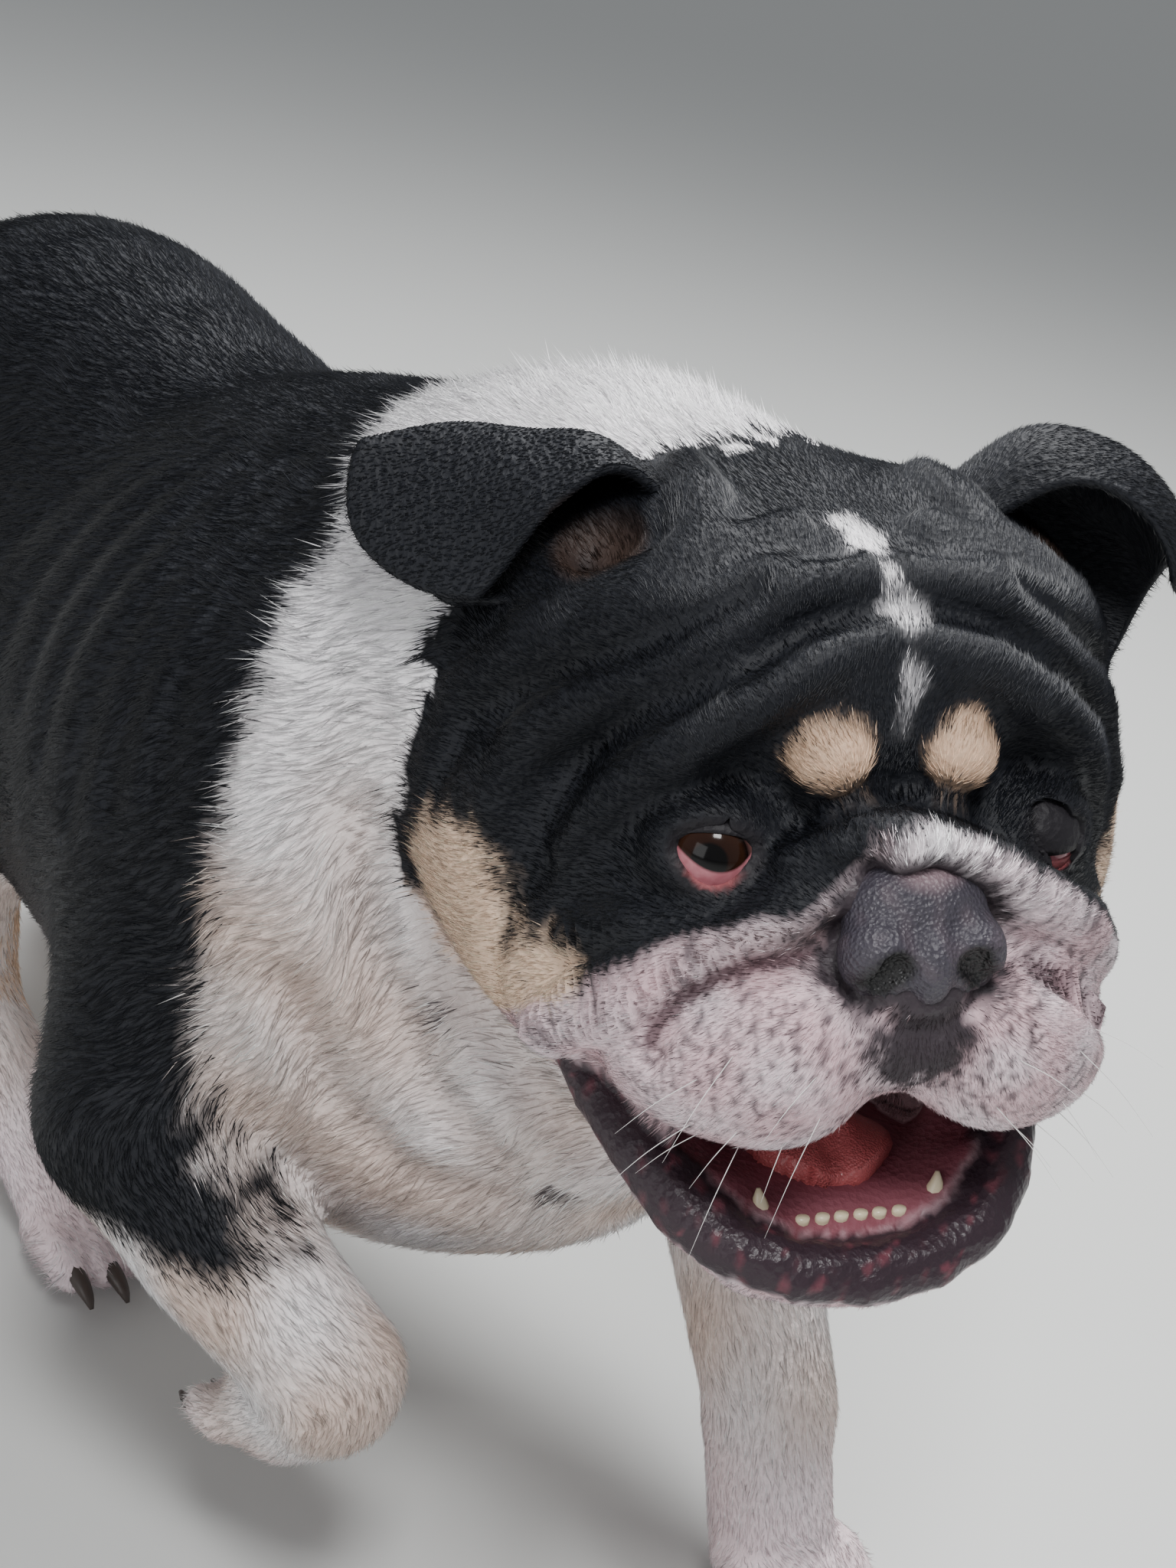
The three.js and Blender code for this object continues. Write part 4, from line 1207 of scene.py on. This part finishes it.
# %% Direction, length, spacing, width and lift of the hair
# Length of the hair, gap between tufts and width of a tuft, in millimetres
BODY_HAIR, LIMB_HAIR, PAW_HAIR = (10.0, 1.75, 0.5), (6.5, 1.5, 0.42), (4.5, 1.3, 0.4)
EAR_HAIR, MUZZLE_LENGTH, MUZZLE_WIDTH = (4, 1.15, 0.34), 3.2, 0.28
LIFT = 0.15
WANDER = 0.25


def coat_at(p, normal, is_ear):
    """The lie of the hair at points with normals: its direction and its four measures."""
    h = to_head(p)
    head_far, body_far = face(p), body_only(p)
    on_head = (head_far < body_far + 3) & ~is_ear
    sag = np.clip(np.abs(p[:, 0]) / 130, 0, 1)
    flow = np.stack([np.zeros(len(p)), np.ones(len(p)), -0.2 - 0.6 * sag], 1)
    legs_flow, legs_far = along_bones(p)
    share = np.clip((12 - legs_far) / 14, 0, 1)[:, None]
    flow = flow * (1 - share) + legs_flow * share
    from_nose = (h - np.array([0, -140, -30])) @ HEAD_AXES.T
    flow[on_head] = from_nose[on_head]
    ear_flow = np.stack([np.sign(h[:, 0]), np.full(len(p), 0.25), np.full(len(p), -0.35)], 1) @ HEAD_AXES.T
    flow[is_ear] = ear_flow[is_ear]
    wander = np.stack([ripple(p, 38, k) for k in (3, 4, 5)], 1)
    flow += WANDER * wander * np.linalg.norm(flow, axis=1)[:, None]
    flow -= (flow * normal).sum(1)[:, None] * normal
    flow /= np.maximum(np.linalg.norm(flow, axis=1), 1e-6)[:, None]

    length, spacing, width = (np.full(len(p), measure) for measure in BODY_HAIR)
    lift = np.full(len(p), LIFT)
    limb_part = share[:, 0] > 0.4
    length[limb_part], spacing[limb_part], width[limb_part] = LIMB_HAIR
    paw = limb_part & (p[:, 2] < 70)
    length[paw], spacing[paw], width[paw] = PAW_HAIR
    front = np.clip((60 - h[:, 1]) / 120, 0, 1)
    length[on_head] = (7.5 - 3.6 * front)[on_head]
    spacing[on_head] = (1.3 - 0.34 * front)[on_head]
    width[on_head] = (0.42 - 0.1 * front)[on_head]
    muzzle = on_head & (h[:, 1] < -95) & (h[:, 2] < 0)
    length[muzzle], width[muzzle] = MUZZLE_LENGTH, MUZZLE_WIDTH
    length[is_ear], spacing[is_ear], width[is_ear] = EAR_HAIR
    nape = np.exp(-(((p - np.array([10, 110, 470])) / np.array([110, 75, 60])) ** 2).sum(1))
    lift += 0.25 * nape * ~on_head
    length += 2.5 * nape * ~on_head
    return np.column_stack([flow, length, spacing, lift, width])


# The columns of the lie of the hair
FLOW, LENGTH, SPACING, LIFTED, WIDTH = slice(0, 3), 3, 4, 5, 6
skin_normals = array_of(skin_mesh, "normal")
lie = shared_out(lambda rows: coat_at(rows[:, :3], rows[:, 4:7], rows[:, 3] > 0.5),
                 np.hstack([stacked, skin_normals]))
print("lie of the coat known at", len(lie), "corners")

# %% The skin's triangles
# Solidify leaves the faces of the ears and lids in another order in each run. So each triangle
# of theirs starts at its lowest corner and they are sorted, and the tufts stay the same ones.
skin_mesh.calc_loop_triangles()
triangle_data = np.zeros(len(skin_mesh.loop_triangles) * 3, np.int32)
skin_mesh.loop_triangles.foreach_get("vertices", triangle_data)
triangles = triangle_data.reshape(-1, 3)
thin = triangles.min(1) >= corners_without_ears
shells = triangles[thin]
turns = (shells.argmin(1)[:, None] + np.arange(3)) % 3
shells = np.take_along_axis(shells, turns, 1)
triangles = np.vstack([triangles[~thin], shells[np.lexsort(shells.T[::-1])]])
print(len(triangles), "triangles of skin")

# %% Where the tufts stand
HAIR_SEED = 11


def bare_places(p):
    """Places without hair: lips, eyes, nose, the floor of the paws and the inside of the mouth."""
    h = to_head(p)
    lips = (lip_form(h) < 2.5) & (lip_form(h + LIP_BELOW) > -3.5)
    gums = on_gum(h, 4, -150) & (np.abs(h[:, 0]) < np.minimum(62, 56 + 0.6 * (h[:, 1] + 90)))
    wet = (eye_far(h) < EYE_GAP) | (mouth_form(h) < 2.5) | (nose_far(h) < 2.0)
    return (wet | lips | gums | (p[:, 2] < 2.5)).astype(float)[:, None]


draw = np.random.default_rng(HAIR_SEED)
room_points = array_of(skin_mesh)
a, b, c = (room_points[triangles[:, k]] for k in range(3))
area = np.linalg.norm(np.cross(b - a, c - a), axis=1) / 2 * 1e6
want = area / (lie[triangles, SPACING].mean(1) ** 2)
count = np.floor(want + draw.random(len(want))).astype(int)
owner = np.repeat(np.arange(len(triangles)), count)
u, v = draw.random(len(owner)), draw.random(len(owner))
over = u + v > 1
u[over], v[over] = 1 - u[over], 1 - v[over]
shares = np.column_stack([1 - u - v, u, v])
held_by = triangles[owner]


def spread(values):
    """Values at the corners of the skin, carried to the roots."""
    return (values[held_by] * shares[:, :, None]).sum(1)


roots = spread(room_points)
root_dog = from_room(roots)
hairy = shared_out(bare_places, root_dog)[:, 0] < 0.5
roots, root_dog, held_by, shares = roots[hairy], root_dog[hairy], held_by[hairy], shares[hairy]
root_normal = spread(skin_normals)
root_normal /= np.linalg.norm(root_normal, axis=1)[:, None]
root_lie = spread(lie)
root_ear = spread(skin_is_ear.astype(float)[:, None])[:, 0] > 0.5
dice = draw.random(len(roots))
print(len(roots), "tufts")

# %% Colour and shape of each tuft
def dressed(rows):
    color, bare, black = markings(rows[:, :3], rows[:, 3] > 0.5, dice=rows[:, 4])
    return np.hstack([color, black[:, None]])


root_marks = shared_out(dressed, np.column_stack([root_dog, root_ear, dice]))
light = 1 + 0.28 * draw.normal(size=len(roots))[:, None].clip(-2, 2)
root_color = root_marks[:, :3] * light
flow = root_lie[:, FLOW] / np.maximum(np.linalg.norm(root_lie[:, FLOW], axis=1), 1e-6)[:, None]
turned = draw.normal(size=len(roots)) * 0.16
across = np.cross(root_normal, flow)
flow = flow * np.cos(turned)[:, None] + across * np.sin(turned)[:, None]
lift = (root_lie[:, LIFTED] * np.exp(draw.normal(size=len(roots)) * 0.35))[:, None]
way = flow * np.cos(lift) + root_normal * np.sin(lift)
length = (root_lie[:, LENGTH] * draw.uniform(0.7, 1.15, len(roots)))[:, None] * 0.001
half = (root_lie[:, WIDTH] * draw.uniform(0.8, 1.2, len(roots)))[:, None] * 0.0005
print("hair from", (length.min() * 1000).round(1), "to", (length.max() * 1000).round(1), "mm long")

# %% One piece of the coat
SUNK_BACK, SUNK_IN = 0.0006, 0.0002
TIP_LIGHT = 1.25


def coat_piece(name, chosen):
    """One mesh of spikes, three sides each, from arrays."""
    n = len(chosen)
    base, along, out = roots[chosen], way[chosen], root_normal[chosen]
    side = np.cross(along, out)
    side /= np.linalg.norm(side, axis=1)[:, None]
    up = np.cross(side, along)
    w = half[chosen]
    start = base - along * SUNK_BACK - out * SUNK_IN
    points = np.stack([start - side * w, start + side * w, start + up * w * 1.2,
                       base + along * length[chosen]], 1).reshape(-1, 3)
    points = above_floor(points)
    faces = (np.arange(n)[:, None, None] * 4 + np.array([[0, 3, 2], [2, 3, 1], [1, 3, 0]])).reshape(-1)
    mesh = bpy.data.meshes.new(name)
    mesh.vertices.add(n * 4)
    mesh.vertices.foreach_set("co", points.astype(np.float32).ravel())
    mesh.loops.add(n * 9)
    mesh.loops.foreach_set("vertex_index", faces.astype(np.int32))
    mesh.polygons.add(n * 3)
    mesh.polygons.foreach_set("loop_start", np.arange(n * 3, dtype=np.int32) * 3)
    mesh.polygons.foreach_set("use_smooth", np.ones(n * 3, bool))
    mesh.update(calc_edges=True)
    color = np.repeat(root_color[chosen], 4, 0)
    color[3::4] *= TIP_LIGHT
    keep(mesh, "coat_color", color.clip(0, 1), "FLOAT_COLOR")
    middle = np.median(base, 0)
    turn = np.arctan2(base[:, 0] - middle[0], base[:, 2] - middle[2]) / (2 * math.pi) + 0.5
    reach = base[:, 1] - base[:, 1].min()
    flat = np.column_stack([0.01 + 0.97 * turn, 0.01 + 0.97 * reach / max(reach.max(), 1e-6)])
    patch = np.array([[0, 0], [0.003, 0], [0.0015, 0.0008], [0.0015, 0.003]])
    layout = (flat[:, None, :] + patch[None]).reshape(-1, 2)[faces]
    mesh.uv_layers.new(name="OFBake").data.foreach_set("uv", layout.astype(np.float32).ravel())
    obj = mesh_object(name, mesh)
    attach(obj, "root")
    return obj


# %% The coat in pieces
MOST_TUFTS = 64000
h_root = to_head(root_dog)
on_head = (np.linalg.norm(h_root - np.array([0, -40, -10]), axis=1) < 150) & (h_root[:, 1] < 70)
legs_near = along_bones(root_dog)[1] < 2
white_front = root_dog[:, 1] < 170
regions = {
    "coat_ears": root_ear,
    "coat_head_right": ~root_ear & on_head & (h_root[:, 0] < 0),
    "coat_head_left": ~root_ear & on_head & (h_root[:, 0] >= 0),
    "coat_foreleg_right": legs_near & white_front & (root_dog[:, 0] < 0),
    "coat_foreleg_left": legs_near & white_front & (root_dog[:, 0] >= 0),
    "coat_hindlegs": legs_near & ~white_front,
    "coat_neck_right": white_front & (root_dog[:, 0] < 0),
    "coat_neck_left": white_front & (root_dog[:, 0] >= 0),
    "coat_back_right": root_dog[:, 0] < 0,
    "coat_back_left": root_dog[:, 0] >= 0,
}
taken = np.zeros(len(roots), bool)
coat = []
for name, wanted in regions.items():
    chosen = np.flatnonzero(wanted & ~taken)
    taken[chosen] = True
    chosen = chosen[np.argsort(root_dog[chosen, 1])]
    shares_of_piece = np.array_split(chosen, -(-len(chosen) // MOST_TUFTS))
    for number, share in enumerate(shares_of_piece, 1):
        title = name if len(shares_of_piece) == 1 else f"{name}_{number}"
        coat.append(coat_piece(title, share))
        print(title, len(share) * 3, "triangles")

# %% [markdown]
# ## Whiskers
# The long stiff hairs of the upper lips are white. They grow in rows along the lip, lean back
# and droop with their own weight. They are thin curved pegs, and their roots are put on the skin
# by drawing them onto the head's form.

# %% Whiskers
WHISKER_SEED = 5
whisker_draw = np.random.default_rng(WHISKER_SEED)
whiskers = bmesh.new()


def whisker(side, row, place):
    root = np.array([[side * (34 + 14 * place), -136 + 8 * place, -58 - 12 * row - 3 * place]], float)
    root = root + whisker_draw.normal(size=3) * 2.5
    root = drawn_onto(root, head_form, rounds=8)[0]
    out = unit((side * (0.6 + 0.15 * place), -0.5 + 0.2 * place, -0.3 - 0.16 * row))
    out = unit(out + whisker_draw.normal(size=3) * 0.2)
    long = whisker_draw.uniform(16, 36)
    drop = np.array([0, 0.1, -1]) * long
    peg(whiskers, [(*(root - out * 2), 0.16), (*(root + out * long * 0.5 + drop * 0.03), 0.11),
                   (*(root + out * long + drop * 0.16), 0.03)], around=5)


for side in BOTH:
    for row in range(3):
        for place in range(3):
            whisker(side, row, place)
move_corners(whiskers, to_room(to_dog(corners(whiskers))))
whiskers_object = mesh_object("whiskers", finish_mesh(whiskers, "whiskers"))
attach(whiskers_object, "root")
print(len(whiskers_object.data.polygons), "faces of whiskers")

# %% [markdown]
# ## Materials
# Skin, nose, lips and tongue share one effect: small bumps of two sizes. It is a node group
# that puts out a height, and each material sets how large and how strong the bumps are.

# %% One group for bumps of two sizes
bumps = bpy.data.node_groups.new("two_bumps", "ShaderNodeTree")
for socket in ("Large Scale", "Small Scale", "Small Share"):
    bumps.interface.new_socket(socket, in_out="INPUT", socket_type="NodeSocketFloat")
bumps.interface.new_socket("Height", in_out="OUTPUT", socket_type="NodeSocketFloat")
into, outof = bumps.nodes.new("NodeGroupInput"), bumps.nodes.new("NodeGroupOutput")
where = bumps.nodes.new("ShaderNodeTexCoord")
cells = bumps.nodes.new("ShaderNodeTexVoronoi")
grain = bumps.nodes.new("ShaderNodeTexNoise")
weigh = bumps.nodes.new("ShaderNodeMath")
weigh.operation = "MULTIPLY_ADD"
for texture, socket in ((cells, "Large Scale"), (grain, "Small Scale")):
    bumps.links.new(where.outputs["Object"], texture.inputs["Vector"])
    bumps.links.new(into.outputs[socket], texture.inputs["Scale"])
bumps.links.new(grain.outputs["Fac"], weigh.inputs[0])
bumps.links.new(into.outputs["Small Share"], weigh.inputs[1])
bumps.links.new(cells.outputs["Distance"], weigh.inputs[2])
bumps.links.new(weigh.outputs["Value"], outof.inputs["Height"])
print("a group of", len(bumps.nodes), "nodes")

# %% Helpers for materials
def material(name, color, rough, coat=0.0, specular=0.5):
    made = bpy.data.materials.new(name)
    made.use_nodes = True
    shader = made.node_tree.nodes["Principled BSDF"]
    shader.inputs["Base Color"].default_value = (*color, 1)
    shader.inputs["Roughness"].default_value = rough
    shader.inputs["Coat Weight"].default_value = coat
    shader.inputs["Coat Roughness"].default_value = 0.04
    shader.inputs["Specular IOR Level"].default_value = specular
    return made


def add_bumps(made, large, small, share, distance, strength=1.0):
    """Gives a material the bumps of the group."""
    tree = made.node_tree
    group = tree.nodes.new("ShaderNodeGroup")
    group.node_tree = bumps
    group.inputs["Large Scale"].default_value = large
    group.inputs["Small Scale"].default_value = small
    group.inputs["Small Share"].default_value = share
    bump = tree.nodes.new("ShaderNodeBump")
    bump.inputs["Strength"].default_value = strength
    bump.inputs["Distance"].default_value = distance
    tree.links.new(group.outputs["Height"], bump.inputs["Height"])
    tree.links.new(bump.outputs["Normal"], tree.nodes["Principled BSDF"].inputs["Normal"])


def attribute(tree, name):
    node = tree.nodes.new("ShaderNodeAttribute")
    node.attribute_name = name
    return node


def colored(made):
    """Takes a material's colour from the coat_color attribute of its piece."""
    tree = made.node_tree
    color = attribute(tree, "coat_color")
    tree.links.new(color.outputs["Color"], tree.nodes["Principled BSDF"].inputs["Base Color"])


# %% Skin and coat
FURRED, WET = 0.62, 0.36
skin_stuff = material("skin", (0.5, 0.5, 0.5), 0.6, specular=0.3)
colored(skin_stuff)
skin_tree = skin_stuff.node_tree
roughness = skin_tree.nodes.new("ShaderNodeMapRange")
roughness.inputs["To Min"].default_value = FURRED
roughness.inputs["To Max"].default_value = WET
skin_tree.links.new(attribute(skin_tree, "bare").outputs["Fac"], roughness.inputs["Value"])
skin_tree.links.new(roughness.outputs["Result"], skin_tree.nodes["Principled BSDF"].inputs["Roughness"])
add_bumps(skin_stuff, 420, 900, 0.6, 0.0006, 0.7)
coat_stuff = material("coat", (0.5, 0.5, 0.5), 0.45, specular=0.3)
colored(coat_stuff)
print("skin and coat materials made")

# %% [markdown]
# ## Wet and hard surfaces
# The eyeball is coloured by how far each point lies from the line of sight: black pupil, brown
# iris, dark ring, then a reddish white. The pink of the turned lid is laid over its lower part. A clear
# coat makes it wet. The nose is grey leather with a pinker top and nostrils painted near black: a dark
# lining and painted shade inside the holes.

# %% Eyes
def ramp(tree, stops):
    node = tree.nodes.new("ShaderNodeValToRGB")
    while len(node.color_ramp.elements) < len(stops):
        node.color_ramp.elements.new(0.5)
    for element, (at, color) in zip(node.color_ramp.elements, stops):
        element.position = at
        element.color = (*color, 1)
    return node


eye_stuff = material("eyes", (0.02, 0.01, 0.01), 0.12, coat=0.12, specular=0.2)
tree = eye_stuff.node_tree
off_gaze = attribute(tree, "off_gaze")
rings = ramp(tree, [(0.0, tint(5, 4, 5)), (0.22, tint(6, 5, 5)), (0.26, tint(34, 18, 12)),
                    (0.46, tint(44, 25, 16)), (0.54, tint(14, 9, 9)), (0.6, tint(86, 58, 56)),
                    (0.7, tint(130, 88, 86))])
tree.links.new(off_gaze.outputs["Fac"], rings.inputs["Fac"])
haw = attribute(tree, "haw")
below = tree.nodes.new("ShaderNodeMapRange")
below.inputs["From Min"].default_value = 0.5
below.inputs["From Max"].default_value = -0.5
tree.links.new(haw.outputs["Fac"], below.inputs["Value"])
pink = ramp(tree, [(0.0, tint(150, 78, 88)), (1.0, tint(190, 126, 134))])
veins = tree.nodes.new("ShaderNodeTexNoise")
veins.inputs["Scale"].default_value = 420
place = tree.nodes.new("ShaderNodeTexCoord")
tree.links.new(place.outputs["Object"], veins.inputs["Vector"])
tree.links.new(veins.outputs["Fac"], pink.inputs["Fac"])
joined = tree.nodes.new("ShaderNodeMix")
joined.data_type = "RGBA"
tree.links.new(below.outputs["Result"], joined.inputs["Factor"])
tree.links.new(rings.outputs["Color"], joined.inputs["A"])
tree.links.new(pink.outputs["Color"], joined.inputs["B"])
tree.links.new(joined.outputs["Result"], tree.nodes["Principled BSDF"].inputs["Base Color"])
print("eyes of", len(tree.nodes), "nodes")

# %% Nose, tongue, teeth, claws and whiskers
nose_points = to_head(from_room(array_of(nose.data)))
pinker = inside(np.linalg.norm((nose_points - np.array([1, -132, 2])) / [1.4, 1, 0.8], axis=1) - 7, 5)
pinker = np.clip(pinker * 0.9 + 0.12 * ripple(nose_points, 9, 5), 0, 1)
# The nostrils go near black: their dark lining, and painted shade inside the holes.
deep = inside(np.minimum.reduce([form(nose_points) for form, soft in NOSTRILS]) - 1.2, 1.4)
nose_color = mix(np.tile(tint(62, 58, 67), (len(nose_points), 1)), tint(140, 118, 124), pinker)
nose_color = mix(nose_color, tint(8, 7, 8), deep)
keep(nose.data, "coat_color", nose_color, "FLOAT_COLOR")
nose_stuff = material("nose", (0.05, 0.05, 0.06), 0.42)
colored(nose_stuff)
add_bumps(nose_stuff, 800, 2400, 0.3, 0.0007, 0.8)
tongue_stuff = material("tongue", tint(196, 96, 98), 0.32, coat=0.3)
add_bumps(tongue_stuff, 1300, 400, 0.8, 0.0005, 0.8)
teeth_stuff = material("teeth", tint(226, 212, 180), 0.25, coat=0.3)
claws_stuff = material("claws", tint(70, 60, 56), 0.4)
add_bumps(claws_stuff, 300, 1500, 0.5, 0.0002, 0.6)
whiskers_stuff = material("whiskers", tint(235, 233, 230), 0.35)

for piece, stuff in ((skin_object, skin_stuff), (nose, nose_stuff), (tongue, tongue_stuff),
                     (teeth_object, teeth_stuff), (claws_object, claws_stuff),
                     (whiskers_object, whiskers_stuff), *[(eye, eye_stuff) for eye in eyes],
                     *[(piece, coat_stuff) for piece in coat]):
    piece.data.materials.clear()
    piece.data.materials.append(stuff)
print(len(bpy.data.materials), "materials")

# %% [markdown]
# ## Floor, light and camera
# A museum shows a model on a plain pale floor in soft light. The camera stands where the
# photographer stood, in front of the dog, to its right and above it.

# %% Floor and light
floor_mesh = bmesh.new()
bmesh.ops.create_grid(floor_mesh, x_segments=1, y_segments=1, size=12)
floor = mesh_object("floor", finish_mesh(floor_mesh, "floor"))
floor.data.materials.append(material("floor", tint(206, 207, 205), 0.9, specular=0.2))
floor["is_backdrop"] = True

world = bpy.data.worlds.new("world")
bpy.context.scene.world = world
world.use_nodes = True
world.node_tree.nodes["Background"].inputs["Color"].default_value = (0.93, 0.96, 1.0, 1)
world.node_tree.nodes["Background"].inputs["Strength"].default_value = 0.36


def lamp(name, place, energy, size, aim=(0, -0.1, 0.2)):
    data = bpy.data.lights.new(name, "AREA")
    data.energy = energy
    data.size = size
    obj = mesh_object(name, data)
    obj.location = place
    obj.rotation_euler = (Vector(aim) - Vector(place)).to_track_quat("-Z", "Y").to_euler()


lamp("key", (-0.7, -0.9, 2.1), 38, 0.6)
lamp("top", (0.6, 0.4, 1.9), 58, 0.8)
lamp("fill", (-1.9, -0.6, 0.7), 7, 1.0)
print(len(bpy.data.lights), "lamps")

# %% Camera
CAMERA_PLACE = [-546.08, -484.63, 679.02]
ACROSS = (0.75649, -0.62118, 0.20461)
DOWN = (-0.12209, -0.44149, -0.88892)
AHEAD = (0.64251, 0.64748, -0.40982)
cam = bpy.data.cameras.new("camera")
cam.lens = 52.73
cam.sensor_width = 36
camera = mesh_object("camera", cam)
seen = Matrix((ACROSS, [-x for x in DOWN], [-x for x in AHEAD])).transposed().to_4x4()
seen.translation = Vector(to_room(CAMERA_PLACE))
camera.matrix_world = seen
bpy.context.scene.camera = camera
print("camera at", [round(x, 3) for x in camera.matrix_world.translation])

# %% Size and finish
low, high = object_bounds()
print("model box", [round(float(x), 3) for corner in (low, high) for x in corner])
